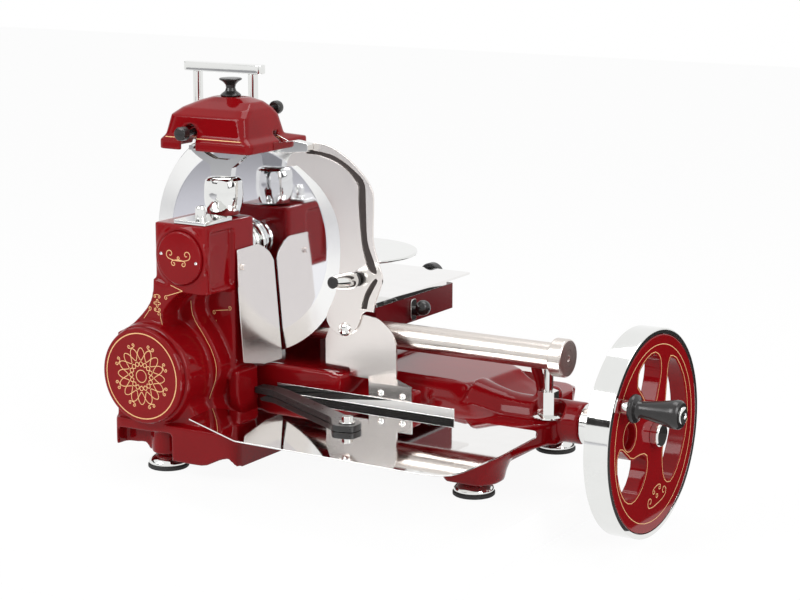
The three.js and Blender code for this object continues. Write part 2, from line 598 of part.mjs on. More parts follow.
// Meat press
const pressPosts = { press_post_left: -190, press_post_right: -96 };
for (const [name, x] of Object.entries(pressPosts)) {
  add(name, rod('Z', [x, PRESS_Y], POST_RADIUS, TABLE_TOP + GAP, PRESS_TOP, 20), CHROME);
}
add('press_crossbar', prism('XY', rounded([-211, -78], [PRESS_Y - 9, PRESS_Y + 9], 8),
  PRESS_TOP + GAP, PRESS_TOP + 13), CHROME);
const PLATE_Z = 255;
const carrierHoles = Object.values(pressPosts).map((x) => circle(x, PRESS_Y, POST_RADIUS + 0.4));
add('press_carrier', joined(
  prism('XY', rounded([-204, -82], [PRESS_Y - 12, PRESS_Y + 12], 8), 252, 276, carrierHoles, 8),
  box([-84, 70], [PRESS_Y - 5, PRESS_Y + 5], [PLATE_Z + 4 + GAP, 274]),
), CHROME);
const oval = new THREE.Shape();
oval.absellipse(70, 112, 105, 100, 0, Math.PI * 2);
add('press_plate', prism('XY', oval, PLATE_Z, PLATE_Z + 4, [], 20), CHROME);

// Lever with a black ball on the end of the carriage
const LEVER_Y = 100;
const LEVER_Z = 190;
add('lever_plate', prism('YZ', rounded([93, 107], [177, 206], 6), CARRIAGE_RIGHT + GAP,
  CARRIAGE_RIGHT + 3), CHROME);
const leverFrom = new THREE.Vector3(CARRIAGE_RIGHT + 10, LEVER_Y, LEVER_Z);
const leverTo = new THREE.Vector3(215, 86, 199);
const leverBar = new THREE.CylinderGeometry(3.5, 4.5, leverFrom.distanceTo(leverTo), 12);
leverBar.applyQuaternion(new THREE.Quaternion().setFromUnitVectors(
  new THREE.Vector3(0, 1, 0), leverTo.clone().sub(leverFrom).normalize()));
leverBar.translate(...leverFrom.clone().lerp(leverTo, 0.5));
add('ball_lever', joined(
  rod('X', [LEVER_Y, LEVER_Z], 6, CARRIAGE_RIGHT + 3 + GAP, CARRIAGE_RIGHT + 13, 16),
  solid(leverBar),
  solid(new THREE.SphereGeometry(10, 16, 10).translate(...leverTo)),
), BLACK);

// Gauge plate beside the blade, with its two curved slots
const PLATE_BACK = -5.3;
const PLATE_FRONT = PLATE_BACK - 3;
const BOLT_X = 155;
const BOLT_Z = 181;
const gaugeEdge = curved([
  [[66, 384], [72, 398], [84, 408], [101, 416], [112, 418], [134, 415], [159, 402], [181, 384],
    [194, 368], [198, 352], [197, 302], [204, 276], [211, 254], [208, 240], [199, 218]],
  [[198, 208]],
  [[187, 208]],
  [[180, 203], [177, 194], [172, 184], [163, 176], [152, 172], [140, 175], [130, 184], [127, 197], [140, 225],
    [147, 260], [148, 296], [141, 329], [121, 359], [96, 379]],
  [[82, 388]],
]);
const upperSlot = curved([
  [[101, 409], [134, 405], [154, 397], [171, 386], [185, 372], [187, 344], [189, 300], [198, 275],
    [203, 260], [198, 258], [190, 263], [185, 275], [180, 299], [176, 343], [175, 368], [161, 385],
    [142, 396], [116, 403], [97, 404], [101, 409]],
]);
const lowerSlot = curved([
  [[188, 211], [191, 224], [197, 236], [204, 249], [200, 251], [191, 240], [183, 225], [179, 210]],
]);
const slotFloor = PLATE_FRONT + 2.2;
add('gauge_plate', prism('XZ', gaugeEdge, PLATE_FRONT, PLATE_BACK, [], 3)
  .subtract(prism('XZ', upperSlot, PLATE_FRONT - 1, slotFloor, [], 3))
  .subtract(prism('XZ', lowerSlot, PLATE_FRONT - 1, slotFloor, [], 3))
  .subtract(rod('Y', [BOLT_X, BOLT_Z], 4 + GAP, PLATE_FRONT - 1, 0)), STEEL);

const HANDLE_X = 172;
const HANDLE_Z = 247.5;
const HANDLE_LIFT = 5.5;
const handleRoot = PLATE_FRONT - GAP;
add('guard_handle', turned('Y', [0, 0], [
  [0, -55.5], [7.6, -55.5], [7.6, -53], [9, -42], [10.5, -28], [11, -17], [10, -9], [9.5, -8], [9.5, -3],
  [3, -1.5], [3, -0.3], [0, -0.3],
], 24).rotate([-HANDLE_LIFT, 0, 0]).translate([HANDLE_X, handleRoot, HANDLE_Z]), CHROME);
add('pivot_bolt', turned('Y', [BOLT_X, BOLT_Z], [
  [0, -14], [5, -13.4], [9, handleRoot - 1], [9, handleRoot], [4, handleRoot], [4, -1], [0, -1],
], 20), CHROME);

// Support plate of the gauge plate, bent forward to the bed
const supportBack = -2;
const supportFront = PLATE_BACK + GAP;
const bracketBack = -28 - GAP;
const bracketFront = bracketBack - 2.7;
const screws = { bracket_screw_left: [223, 111], bracket_screw_right: [255, 110] };
const supportEdge = curved([
  [[123, 132]], [[123, 165], [133, 186], [152, 197], [176, 202], [200, 199], [221, 184], [229.5, 168]],
  [[230, 120]], [[163, 120]], [[159, 131]],
]);
let support = joined(
  prism('XZ', supportEdge, supportFront, supportBack, [circle(BOLT_X, BOLT_Z, 4 + GAP)], 6),
  prism('XY', [[186, supportBack], [230, supportBack], [268, bracketBack], [268, bracketFront],
    [205, bracketFront]], 120, 123),
  box([205, 268], [bracketFront, bracketBack], [94, 123]),
);
for (const [name, place] of Object.entries(screws)) {
  support = support.subtract(rod('Y', place, 2.5 + GAP, bracketFront - 1, bracketBack + 1, 16));
  add(name, turned('Y', place, [
    [0, bracketFront - 3.4], [3, bracketFront - 3], [4.6, bracketFront - GAP],
    [2.5, bracketFront - GAP], [2.5, bracketBack], [0, bracketBack],
  ], 16), CHROME);
}
add('support_plate', support, STEEL);

// Deflector plate that leans beside the blade
const deflectorEdge = [
  [-83, 279, 2], [-84, 285, 3], [-34, 286, 8], [-12, 272, 6], [-5, 260], [-5, 130, 4], [-45, 131],
  [-90, 141, 3], [-86, 250],
];
const leaning = new THREE.Matrix4().makeShear(0, 0, 0, 0, -0.09, 0);
add('deflector_plate', joined(
  prism('YZ', deflectorEdge, 0, 1.5).transform([
    1, 0, 0, 0, 0, 1, 0, 0, leaning.elements[8], 0, 1, 0, HEAD_RIGHT + 1.5 + 285 * 0.09, 0, 0, 1,
  ]),
  rod('X', [-74, 262], 4, HEAD_RIGHT + GAP, 47, 14),
), STEEL);

// Sharpener over the blade
// Each level of the cover: left, right, front, back, corner radius and height above its lower edge.
const coverLevels = [
  [-88, 56, -75, 60, 8, 0], [-88, 56, -75, 60, 8, 12], [-82, 46, -71, 24, 9, 19],
  [-78, 41, -66, 20, 12, 44], [-69, 37, -55, 14, 14, 53], [-54, 29, -38, 6, 14, 61],
  [-38, 10, -29, 1, 13, 66],
];
const COVER_WALL = 5;
const coverRight = coverLevels[0][1];
const coverFront = coverLevels[0][2];
const coverRise = (COVER_TOP - COVER_LOW) / 66;
function coverRing([left, right, front, back, corner, up], inset, drop) {
  const radius = corner - inset / 2;
  const height = COVER_LOW + up * coverRise - drop;
  const ring = [];
  const reach = inset + radius;
  for (const [x, y, start] of [
    [right - reach, back - reach, 0], [left + reach, back - reach, 90],
    [left + reach, front + reach, 180], [right - reach, front + reach, 270],
  ]) {
    for (const turn of [0, 30, 60, 90]) {
      const angle = THREE.MathUtils.degToRad(start + turn);
      ring.push([x + radius * Math.cos(angle), y + radius * Math.sin(angle), height]);
    }
  }
  return ring;
}
const BUTTON_X = -41;
const BUTTON_Z = COVER_LOW + 23;
const REAR_KNOB = [27, COVER_LOW + 50];
const notch = [
  [BUTTON_X - 12, COVER_LOW - 5], [BUTTON_X + 12, COVER_LOW - 5], [BUTTON_X + 12, BUTTON_Z + 4, 6],
  [BUTTON_X, BUTTON_Z + 14, 8], [BUTTON_X - 12, BUTTON_Z + 4, 6],
];
add('sharpener_cover', loft(coverLevels.map((level) => coverRing(level, 0, 0)))
  .subtract(loft(coverLevels.map((level) => coverRing(level, COVER_WALL, COVER_WALL))))
  .subtract(prism('XZ', notch, coverFront - 5, -55))
  .add(box([-79, BUTTON_X], [-56, -50], [BUTTON_Z - 6, BUTTON_Z + 6]))
  .add(rod('Y', [BUTTON_X, BUTTON_Z], 8, -60, -24))
  .subtract(rod('Y', [BUTTON_X, BUTTON_Z], 4 + GAP, -61, -20))
  .subtract(rod('Y', [BUTTON_X, BUTTON_Z], 5 + GAP, 10, 61, 16))
  .subtract(rod('Y', REAR_KNOB, 3 + GAP, -2, 30, 16))
  .subtract(rod('Y', [0, BLADE_Z], BLADE_RADIUS + 4, -5, 5, 96)), RED);
const KNOB_AT = [-15, -14];
add('sharpener_knob', turned('Z', KNOB_AT, [
  [0, COVER_TOP + GAP], [13, COVER_TOP + GAP], [13, COVER_TOP + 3], [7, COVER_TOP + 8],
  [6, COVER_TOP + 12], [9, COVER_TOP + 17], [15, COVER_TOP + 21], [14, COVER_TOP + 23],
  [0, COVER_TOP + 24],
], 24), BLACK);
const YOKE_Y = [-64, -54];
const yokeTab = (x) => box([x, x + 7], [coverFront + COVER_WALL + GAP, YOKE_Y[1]],
  [COVER_LOW + 1, COVER_LOW + 6.5]);
const yokePoints = (points) => points.map(([x, below]) => [x, COVER_LOW - below]);
const CUP_AT = [4, -59];
add('sharpener_yoke', prism('XZ', curved([
  [[-42, -8]], [[-42, 1], [-30, 9], [-13, 17]], [[-11, 31]], [[19, 31]],
  [[21, 19], [34, 9], [47, -2]], [[47, -8]], [[36, -8]], [[35, -3], [28, 4], [14, 9]],
  [[-6, 9], [-20, 3], [-32, -5]], [[-33, -8]],
].map(yokePoints)), ...YOKE_Y, [], 3).add(yokeTab(-42)).add(yokeTab(38))
  .add(rod('Z', CUP_AT, 5, COVER_LOW - 37.5, COVER_LOW - 30, 16)), CHROME);
// The cup hangs from the yoke and reaches down to just above the head of the column.
const CUP_LOW = HEAD_TOP + 2.5;
const cupStretch = (COVER_LOW - 32 - CUP_LOW) / 47.5;
const cupProfile = [
  [5.3, 47.5], [20, 47.5], [23.5, 44.5], [25, 36.5], [25.3, 22.5], [23.5, 9.5], [20.5, 0], [18.5, 0],
  [21.5, 9.5], [23.3, 22.5], [23, 36.5], [20, 42.5], [5.3, 42.5],
].map(([radius, up]) => [radius, CUP_LOW + up * cupStretch]);
add('sharpener_cup', turned('Z', CUP_AT, cupProfile, 28), CHROME);
add('push_button', turned('Y', [BUTTON_X, BUTTON_Z], [
  [0, -92], [7.5, -92], [9, -90], [9, -79], [4, -77], [4, -7], [0, -7],
], 20), BLACK);
add('stone_front', pipe('Y', [BUTTON_X, BUTTON_Z], 4 + GAP, 18, -13, -7, 28), STONE);
add('stone_rear', turned('Y', [BUTTON_X, BUTTON_Z], [
  [0, 6], [17, 6], [17, 12], [5, 12], [5, 32], [0, 32],
], 24), STONE);
add('rear_knob', turned('Y', REAR_KNOB, [
  [0, 2], [3, 2], [3, 22], [8, 22], [9, 24], [9, 31], [6, 35], [0, 36],
], 20), BLACK);
add('sharpener_bracket', prism('XZ', [
  [coverRight + GAP, -1], [80, 0, 4], [109, 3, 2], [109, 13, 3], [88, 16, 4], [coverRight + GAP, 11],
].map(([x, up, radius = 0]) => [x, COVER_LOW + up, radius]), -22, PLATE_FRONT - GAP), CHROME);

// Receiving tray, its arm and bolt
const BOLT_AT = [246, -145];
add('tray', joined(
  prism('XY', [[51, -204], [159, -258, 4], [455, -265, 38], [461, -150], [457, -48, 12], [444, -32, 5],
    [66, -32], [66, -74, 4], [90, -100, 6], [94, -147, 3], [68, -142], [46, -146, 2]],
  TRAY_Z, TRAY_Z + 1.7),
  box([66, 331], [-33.4, -32], [TRAY_Z, 105]),
).subtract(rod('Z', BOLT_AT, 4 + GAP, 80, 120, 16)), MIRROR);
const armLow = TRAY_Z + 2;
const armTop = armLow + 8;
add('tray_arm', prism('XY', [
  [BLOCK_RIGHT + GAP, -36], [66, -36, 3], [90, -44, 4], [230, -117, 6], [262, -134, 8],
  [262, -158, 8], [236, -164, 8], [213, -132, 8], [78, -60, 4], [BLOCK_RIGHT + GAP, -56, 3],
], armLow, armTop).subtract(rod('Z', BOLT_AT, 4 + GAP, 80, 120, 16)), BLACK);
add('tray_bolt', joined(
  rod('Z', BOLT_AT, 10, armTop + GAP, armTop + 2, 24),
  rod('Z', BOLT_AT, 7, armTop + 1, armTop + 8, 6),
  rod('Z', BOLT_AT, 4, 86, armTop + 2, 16),
), CHROME);

export default slicer;
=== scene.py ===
# %% [markdown]
# # A hand cranked meat slicer, dressed round its CAD model
# The machine is an enamelled iron frame with a round blade, a sliding carriage and a large
# flywheel. The CAD model gives every size and every moving body. This lesson puts the looks
# on it: soft cast edges, turned and polished metal, enamel, rubber and painted gold lines.

# %% The CAD model as a fixed frame
import json
import math

import bmesh
import bpy
from mathutils import Matrix, Vector

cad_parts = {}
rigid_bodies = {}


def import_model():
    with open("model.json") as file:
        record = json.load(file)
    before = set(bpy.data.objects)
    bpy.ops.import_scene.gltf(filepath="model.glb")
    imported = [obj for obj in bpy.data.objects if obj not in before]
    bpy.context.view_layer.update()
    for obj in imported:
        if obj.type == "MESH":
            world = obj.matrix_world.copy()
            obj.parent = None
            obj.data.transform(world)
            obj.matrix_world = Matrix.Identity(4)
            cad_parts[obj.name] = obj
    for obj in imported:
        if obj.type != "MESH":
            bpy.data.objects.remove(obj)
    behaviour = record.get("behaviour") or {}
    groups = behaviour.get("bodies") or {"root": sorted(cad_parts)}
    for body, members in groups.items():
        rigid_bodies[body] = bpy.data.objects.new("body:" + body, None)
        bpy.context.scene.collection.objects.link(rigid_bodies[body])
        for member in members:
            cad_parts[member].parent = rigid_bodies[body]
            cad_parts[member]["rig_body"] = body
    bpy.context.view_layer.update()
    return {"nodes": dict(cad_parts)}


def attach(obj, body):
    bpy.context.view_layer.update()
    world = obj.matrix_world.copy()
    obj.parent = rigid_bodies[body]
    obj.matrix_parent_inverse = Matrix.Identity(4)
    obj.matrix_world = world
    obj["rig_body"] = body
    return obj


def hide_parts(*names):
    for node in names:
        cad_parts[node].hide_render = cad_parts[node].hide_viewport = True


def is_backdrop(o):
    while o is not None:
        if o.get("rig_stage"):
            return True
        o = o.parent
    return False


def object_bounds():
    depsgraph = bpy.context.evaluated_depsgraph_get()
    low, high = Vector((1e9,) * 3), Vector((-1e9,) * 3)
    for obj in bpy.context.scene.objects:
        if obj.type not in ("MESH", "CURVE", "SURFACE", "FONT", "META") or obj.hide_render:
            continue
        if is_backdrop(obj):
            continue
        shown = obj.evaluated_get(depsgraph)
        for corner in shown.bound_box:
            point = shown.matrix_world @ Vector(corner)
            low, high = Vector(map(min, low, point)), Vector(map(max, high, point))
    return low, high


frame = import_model()

# %% [markdown]
# ## Millimetres of the machine
# A maker measures from the blade: X along the carriage, Y to the back, Z up from the feet, with
# zero on the axis of the blade. The shared frame is in metres from the middle of the machine,
# so one function turns the one into the other.

# %% From the machine's millimetres to the shared frame
MM = 0.001
BLADE_IN_FRAME = Vector((-200, -5, 0))


def to_frame(x, y, z):
    return (Vector((x, y, z)) + BLADE_IN_FRAME) * MM


MACHINE_TO_FRAME = Matrix.Scale(MM, 4) @ Matrix.Translation(BLADE_IN_FRAME)
print("the machine's zero in the frame", tuple(round(x, 4) for x in to_frame(0, 0, 0)))

# %% [markdown]
# ## Shader maths as plain sums
# A procedural finish is a sum over nodes. Every node could be added and linked by hand, but
# wrapping a socket in a small class with the usual signs lets a finish read like a formula. One
# method of the node tree makes every other node.

# %% A signal that can be added, multiplied and compared
class Signal:
    def __init__(self, nodes, socket):
        self.nodes = nodes
        self.socket = socket

    def maths(self, operation, *values):
        return self.nodes.node("ShaderNodeMath", {"operation": operation}, dict(enumerate(values)))

    def __add__(self, other):
        return self.maths("ADD", self, other)

    def __mul__(self, other):
        return self.maths("MULTIPLY", self, other)

    def __gt__(self, other):
        return self.maths("GREATER_THAN", self, other)

    def __lt__(self, other):
        return self.maths("LESS_THAN", self, other)

    __radd__ = __add__
    __rmul__ = __mul__


print("signs that a signal understands: + * > <")

# %% [markdown]
# ## One method for every node
# A material and the world both own a tree of nodes. One class holds such a tree, makes a node in
# it, sets what has to be set first, and then fills its sockets with numbers or with links.

# %% The nodes of a material or of the world
class Nodes:
    def __init__(self, tree):
        self.tree = tree

    def join(self, socket, value):
        if isinstance(value, Signal):
            self.tree.links.new(value.socket, socket)
        else:
            socket.default_value = value

    def node(self, kind, settings=None, inputs=None, output=0):
        made = self.tree.nodes.new(kind)
        for setting, value in (settings or {}).items():
            setattr(made, setting, value)
        for socket, value in (inputs or {}).items():
            self.join(made.inputs[socket], value)
        return Signal(self, made.outputs[output])


print("nodes are made by", Nodes.node.__name__, "and linked by", Nodes.join.__name__)

# %% [markdown]
# ## A finish
# A finish is one material: Blender's Principled shader with something fed into its sockets. Real
# surfaces are never even, so grain gives noise in millimetres of the machine, tinted mixes two
# colours by a share, and bumped lets a height tilt the surface without moving it.

# %% One material with its nodes
MIX_SHARE, MIX_FIRST_COLOR, MIX_SECOND_COLOR = 0, 6, 7
MIXED_COLOR = 2


class Finish(Nodes):
    def __init__(self, name, color, **sockets):
        self.material = bpy.data.materials.new(name)
        self.material.use_nodes = True
        self.material.diffuse_color = (*color, 1)
        super().__init__(self.material.node_tree)
        self.shader = self.tree.nodes["Principled BSDF"]
        self.feed("Base Color", (*color, 1))
        for socket, value in sockets.items():
            self.feed(socket.replace("_", " ").title(), value)

    def feed(self, socket, value):
        self.join(self.shader.inputs[socket.replace("Ior", "IOR")], value)

    def place(self, scale=(1, 1, 1), centre=(0, 0, 0)):
        here = self.node("ShaderNodeTexCoord", output="Object")
        moved = self.node("ShaderNodeVectorMath", {"operation": "SUBTRACT"}, {0: here, 1: centre})
        return self.node("ShaderNodeVectorMath", {"operation": "MULTIPLY"}, {0: moved, 1: scale})

    def grain(self, size_mm, stretch=(1, 1, 1), detail=2.0):
        scale = [part / (size_mm * MM) for part in stretch]
        values = {"Vector": self.place(scale), "Scale": 1.0, "Detail": detail}
        return self.node("ShaderNodeTexNoise", {}, values)

    def tinted(self, share, first, second):
        values = {MIX_SHARE: share, MIX_FIRST_COLOR: (*first, 1), MIX_SECOND_COLOR: (*second, 1)}
        return self.node("ShaderNodeMix", {"data_type": "RGBA"}, values, MIXED_COLOR)

    def bumped(self, height, depth_mm):
        values = {"Height": height, "Distance": depth_mm * MM, "Strength": 1.0}
        self.feed("Normal", self.node("ShaderNodeBump", {}, values))


print("a finish is made of", [name for name in vars(Finish) if not name.startswith("_")])

# %% [markdown]
# ## Enamel
# The castings are dipped and baked: deep red glass over iron, glossy, with a very faint ripple
# and a slow change of depth. The ripple goes into the normal, the depth into the colour. The
# mirror share is kept low, because a pale studio would otherwise veil so dark a red with white.

# %% Red enamel and the satin red of the carriage
def enamel(name, deep, bright, roughness, ripple):
    finish = Finish(name, bright, Roughness=roughness, Specular_Ior_Level=0.19)
    depth = finish.grain(60, detail=3.0)
    finish.feed("Base Color", finish.tinted(depth, deep, bright))
    finish.feed("Roughness", finish.grain(9) * 0.05 + (roughness - 0.02))
    finish.bumped(finish.grain(5, detail=1.0), ripple)
    return finish


red = enamel("red_enamel", (0.175, 0.0020, 0.0036), (0.235, 0.0030, 0.0056), 0.07, 0.008)
dark_red = enamel("satin_red", (0.095, 0.0025, 0.0045), (0.125, 0.0040, 0.0070), 0.24, 0.02)
print("enamels made:", red.material.name, dark_red.material.name)

# %% [markdown]
# ## Metals
# Chrome is nearly a mirror with faint wiping marks. Steel plates are brushed: noise drawn out
# along one direction gives the fine lines. An anisotropic shader would streak the highlights
# too, but it needs a direction on every face, while drawn out noise works on any shape.

# %% Chrome, brushed steel and mirror steel
def polished(name, color, roughness, marks=0.04):
    finish = Finish(name, color, Metallic=1.0, Roughness=roughness)
    smear = finish.grain(22, detail=4.0)
    finish.feed("Roughness", smear * marks + (roughness - marks * 0.5))
    finish.feed("Base Color", finish.tinted(smear, [c * 0.95 for c in color], color))
    return finish


def brushed(name, color, roughness, along):
    finish = polished(name, color, roughness, 0.08)
    lines = finish.grain(0.5, [0.02 if axis == along else 1 for axis in "XYZ"], detail=3.0)
    finish.feed("Roughness", lines * 0.14 + (roughness - 0.07))
    finish.bumped(lines, 0.003)
    return finish


chrome = polished("chrome", (0.82, 0.825, 0.81), 0.06)
steel_across = brushed("steel_brushed_across", (0.83, 0.785, 0.755), 0.20, "X")
steel_upright = brushed("steel_brushed_upright", (0.83, 0.785, 0.755), 0.19, "Z")
mirror_steel = polished("mirror_steel", (0.88, 0.87, 0.86), 0.035, 0.03)
tube_steel = brushed("tube_steel", (0.68, 0.63, 0.59), 0.27, "X")
print("metals made:", chrome.material.name, steel_across.material.name, steel_upright.material.name,
      mirror_steel.material.name, tube_steel.material.name)

# %% [markdown]
# ## Rings left by the lathe
# The blade was ground while it turned, so its fine lines run in rings. The distance from the
# axis drives a noise with one dimension, which gives rings of uneven strength.
# The blade's ground bevel is duller than its polished middle, so the same distance picks both.

# %% Rings round an axis, and the blade
def turned_rings(finish, across, centre, fine):
    from_axis = finish.place([side / MM for side in across], to_frame(*centre))
    radius = finish.node("ShaderNodeVectorMath", {"operation": "LENGTH"}, {0: from_axis}, "Value")
    rings = finish.node("ShaderNodeTexNoise", {"noise_dimensions": "1D"},
                        {"W": radius, "Scale": fine, "Detail": 3.0})
    return radius, rings


BLADE_RADIUS = 150
BEVEL_WIDTH = 25
BLADE_UP = 281
blade_finish = Finish("blade_steel", (0.88, 0.88, 0.90), Metallic=1.0, Roughness=0.05)
radius, rings = turned_rings(blade_finish, (1, 0, 1), (0, 0, BLADE_UP), 2.2)
on_bevel = radius > BLADE_RADIUS - BEVEL_WIDTH
blade_finish.feed("Roughness", on_bevel * 0.12 + rings * 0.04 + 0.035)
blade_finish.feed("Base Color", blade_finish.tinted(on_bevel, (0.84, 0.84, 0.87), (0.93, 0.93, 0.92)))
blade_finish.bumped(rings, 0.001)
print("blade bevel starts at", BLADE_RADIUS - BEVEL_WIDTH, "mm")

# %% [markdown]
# ## The faced end of the tube
# The end of the guide tube was cut flat with a pointed tool, which leaves coarser and duller
# rings than the blade has. The same helper makes them, with another axis.

# %% Rings on the end of the tube
TUBE_Y, TUBE_Z = 30, 171.7
faced_steel = Finish("faced_steel", (0.74, 0.66, 0.62), Metallic=1.0, Roughness=0.3)
radius, rings = turned_rings(faced_steel, (0, 1, 1), (0, TUBE_Y, TUBE_Z), 1.4)
faced_steel.feed("Roughness", rings * 0.25 + 0.2)
faced_steel.feed("Base Color", faced_steel.tinted(rings, (0.62, 0.53, 0.49), (0.82, 0.76, 0.72)))
faced_steel.bumped(rings, 0.004)
print("faced end of the tube at", TUBE_Y, TUBE_Z)

# %% [markdown]
# ## Black parts
# The knobs and the crank grip are turned black plastic with a soft shine, the feet stand on
# rubber and the arm of the tray is black painted iron. A black that is the same all over looks
# like a hole in the picture, so each has its own grain in colour, gloss and relief.

# %% Black plastic, rubber and painted iron
black =Finish("black_plastic", (0.012, 0.011, 0.011), Roughness=0.22)
black.feed("Roughness", black.grain(8, detail=3.0) * 0.10 + 0.19)
black.feed("Base Color", black.tinted(black.grain(20), (0.009, 0.008, 0.008), (0.018, 0.016, 0.016)))
black.bumped(black.grain(1.2), 0.01)

rubber = Finish("foot_rubber", (0.016, 0.016, 0.016), Roughness=0.7)
rubber.feed("Base Color", rubber.tinted(rubber.grain(6, detail=4.0), (0.012,) * 3, (0.026,) * 3))
rubber.feed("Roughness", rubber.grain(3) * 0.2 + 0.6)
rubber.bumped(rubber.grain(0.8, detail=3.0), 0.05)

black_iron = Finish("black_iron", (0.02, 0.021, 0.021), Roughness=0.3)
black_iron.feed("Base Color", black_iron.tinted(black_iron.grain(12), (0.014,) * 3, (0.03,) * 3))
black_iron.feed("Roughness", black_iron.grain(4, detail=4.0) * 0.16 + 0.22)
black_iron.bumped(black_iron.grain(1.5, detail=4.0), 0.03)
print("black finishes:", black.material.name, rubber.material.name, black_iron.material.name)

# %% [markdown]
# ## Iron, stone and paint
# The gears are oiled iron and the sharpening stones are coarse grit. The floors of the gauge
# plate's grooves get painted shade, a near black, and the gold lines are paint laid on by brush, so both
# are uneven.

# %% Oiled iron, stone, painted groove shade and gold
iron = Finish("oiled_iron", (0.10, 0.098, 0.095), Metallic=0.9, Roughness=0.4)
iron.feed("Base Color", iron.tinted(iron.grain(7, detail=4.0), (0.055, 0.052, 0.05), (0.14, 0.138, 0.13)))
iron.feed("Roughness", iron.grain(3, detail=4.0) * 0.25 + 0.3)
iron.bumped(iron.grain(1), 0.03)

stone = Finish("grinding_stone", (0.42, 0.40, 0.36), Roughness=0.9)
stone.feed("Base Color", stone.tinted(stone.grain(0.5, detail=6.0), (0.30, 0.28, 0.25), (0.55, 0.52, 0.47)))
stone.feed("Roughness", stone.grain(1) * 0.1 + 0.85)
stone.bumped(stone.grain(0.4, detail=6.0), 0.12)

# Painted shade: a near black on the groove floors stands in for the shade inside the grooves.
painted_groove_shade = Finish("painted_groove_shade", (0.022, 0.014, 0.012), Roughness=0.45)
groove_shade_colors = painted_groove_shade.tinted(painted_groove_shade.grain(5), (0.016, 0.010, 0.009), (0.04, 0.026, 0.022))
painted_groove_shade.feed("Base Color", groove_shade_colors)
painted_groove_shade.feed("Roughness", painted_groove_shade.grain(3) * 0.2 + 0.35)
painted_groove_shade.bumped(painted_groove_shade.grain(1), 0.02)

gold = Finish("gold_paint", (0.78, 0.47, 0.20), Roughness=0.4)
gold.feed("Base Color", gold.tinted(gold.grain(3, detail=3.0), (0.70, 0.38, 0.15), (0.85, 0.55, 0.26)))
gold.feed("Roughness", gold.grain(2) * 0.15 + 0.3)
gold.bumped(gold.grain(1.5), 0.02)
print("materials so far:", len(bpy.data.materials))

# %% [markdown]
# ## From a bmesh to a finished piece
# Each piece is shaped in the machine's millimetres and then moved to the frame as a whole, so
# its object stays at the origin, unturned. It rides on the body of the CAD node it stands for.
# Faces are shaded smooth up to a crease, and a weighted normal keeps the flat ones flat.

# %% Finishing a piece
CREASE_ANGLE, NO_CREASES = 35, 180
FACING = 0.9
dressed = set()


def painted(shape, chosen):
    for face in shape.faces:
        if chosen(face.calc_center_median(), face.normal):
            face.material_index = 1


def finished(name, shape, finish, nodes, body=None, crease=CREASE_ANGLE, accent=None):
    bmesh.ops.transform(shape, matrix=MACHINE_TO_FRAME, verts=shape.verts)
    mesh = bpy.data.meshes.new(name)
    shape.to_mesh(mesh)
    shape.free()
    mesh.materials.append(finish.material)
    if accent:
        mesh.materials.append(accent.material)
    mesh.shade_smooth()
    mesh.set_sharp_from_angle(angle=math.radians(crease))
    piece = bpy.data.objects.new(name, mesh)
    bpy.context.scene.collection.objects.link(piece)
    if crease < NO_CREASES:
        flat_faces_first = piece.modifiers.new("flat faces stay flat", "WEIGHTED_NORMAL")
        flat_faces_first.keep_sharp = True
    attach(piece, body or frame["nodes"][nodes[0]]["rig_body"])
    if nodes:
        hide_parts(*nodes)
        dressed.update(nodes)
    return piece


# %% [markdown]
# ## Turned pieces
# Whatever came off a lathe is a profile spun round its axis. A cylinder with loops cut into it
# would do too, but a profile needs only a few points and reads like the turner's drawing. A small
# bevel on every sharp ring catches the light as the real broken edge does.

# %% A profile spun round its axis
SHARP_ANGLE = 28
SPIN_TO = {
    "X": Matrix(((0, 0, 1, 0), (1, 0, 0, 0), (0, 1, 0, 0), (0, 0, 0, 1))),
    "Y": Matrix(((1, 0, 0, 0), (0, 0, 1, 0), (0, -1, 0, 0), (0, 0, 0, 1))),
    "Z": Matrix.Identity(4),
}
SPIN_AT = {
    "X": lambda a, b: Vector((0, a, b)),
    "Y": lambda a, b: Vector((a, 0, b)),
    "Z": lambda a, b: Vector((a, b, 0)),
}


def spun(profile, ease=0.4, steps=96):
    shape = bmesh.new()
    points = [shape.verts.new((radius, 0, along)) for radius, along in profile]
    edges = [shape.edges.new(pair) for pair in zip(points, points[1:])]
    off_axis = profile[0][0] > 0 or profile[-1][0] > 0
    if off_axis:
        edges.append(shape.edges.new((points[-1], points[0])))
    bmesh.ops.spin(shape, geom=points + edges, cent=(0, 0, 0), axis=(0, 0, 1),
                   angle=math.tau, steps=steps, use_merge=True)
    bmesh.ops.remove_doubles(shape, verts=shape.verts, dist=0.001)
    bmesh.ops.recalc_face_normals(shape, faces=shape.faces)
    eased(shape, ease)
    return shape


def eased(shape, width, angle=SHARP_ANGLE, segments=2):
    limit = math.radians(angle)
    sharp = [edge for edge in shape.edges if edge.is_manifold and edge.calc_face_angle() > limit]
    if width and sharp:
        bmesh.ops.bevel(shape, geom=sharp, offset=width, segments=segments, profile=0.5,
                        affect="EDGES", material=-1, clamp_overlap=True)


def turned(name, axis, centre, profile, finish, nodes, ease=0.4, steps=96, body=None,
           accent=None, chosen=None):
    shape = spun(profile, ease, steps)
    move = Matrix.Translation(SPIN_AT[axis](*centre)) @ SPIN_TO[axis]
    bmesh.ops.transform(shape, matrix=move, verts=shape.verts)
    if accent:
        painted(shape, chosen)
    return finished(name, shape, finish, nodes, body, accent=accent)


print("axes to turn round:", list(SPIN_TO))

# %% [markdown]
# ## Feet
# Each foot is a rubber pad under a chromed bell. Seen from the side the bell is a low dome, so
# the profile swells before it runs in to the stem.

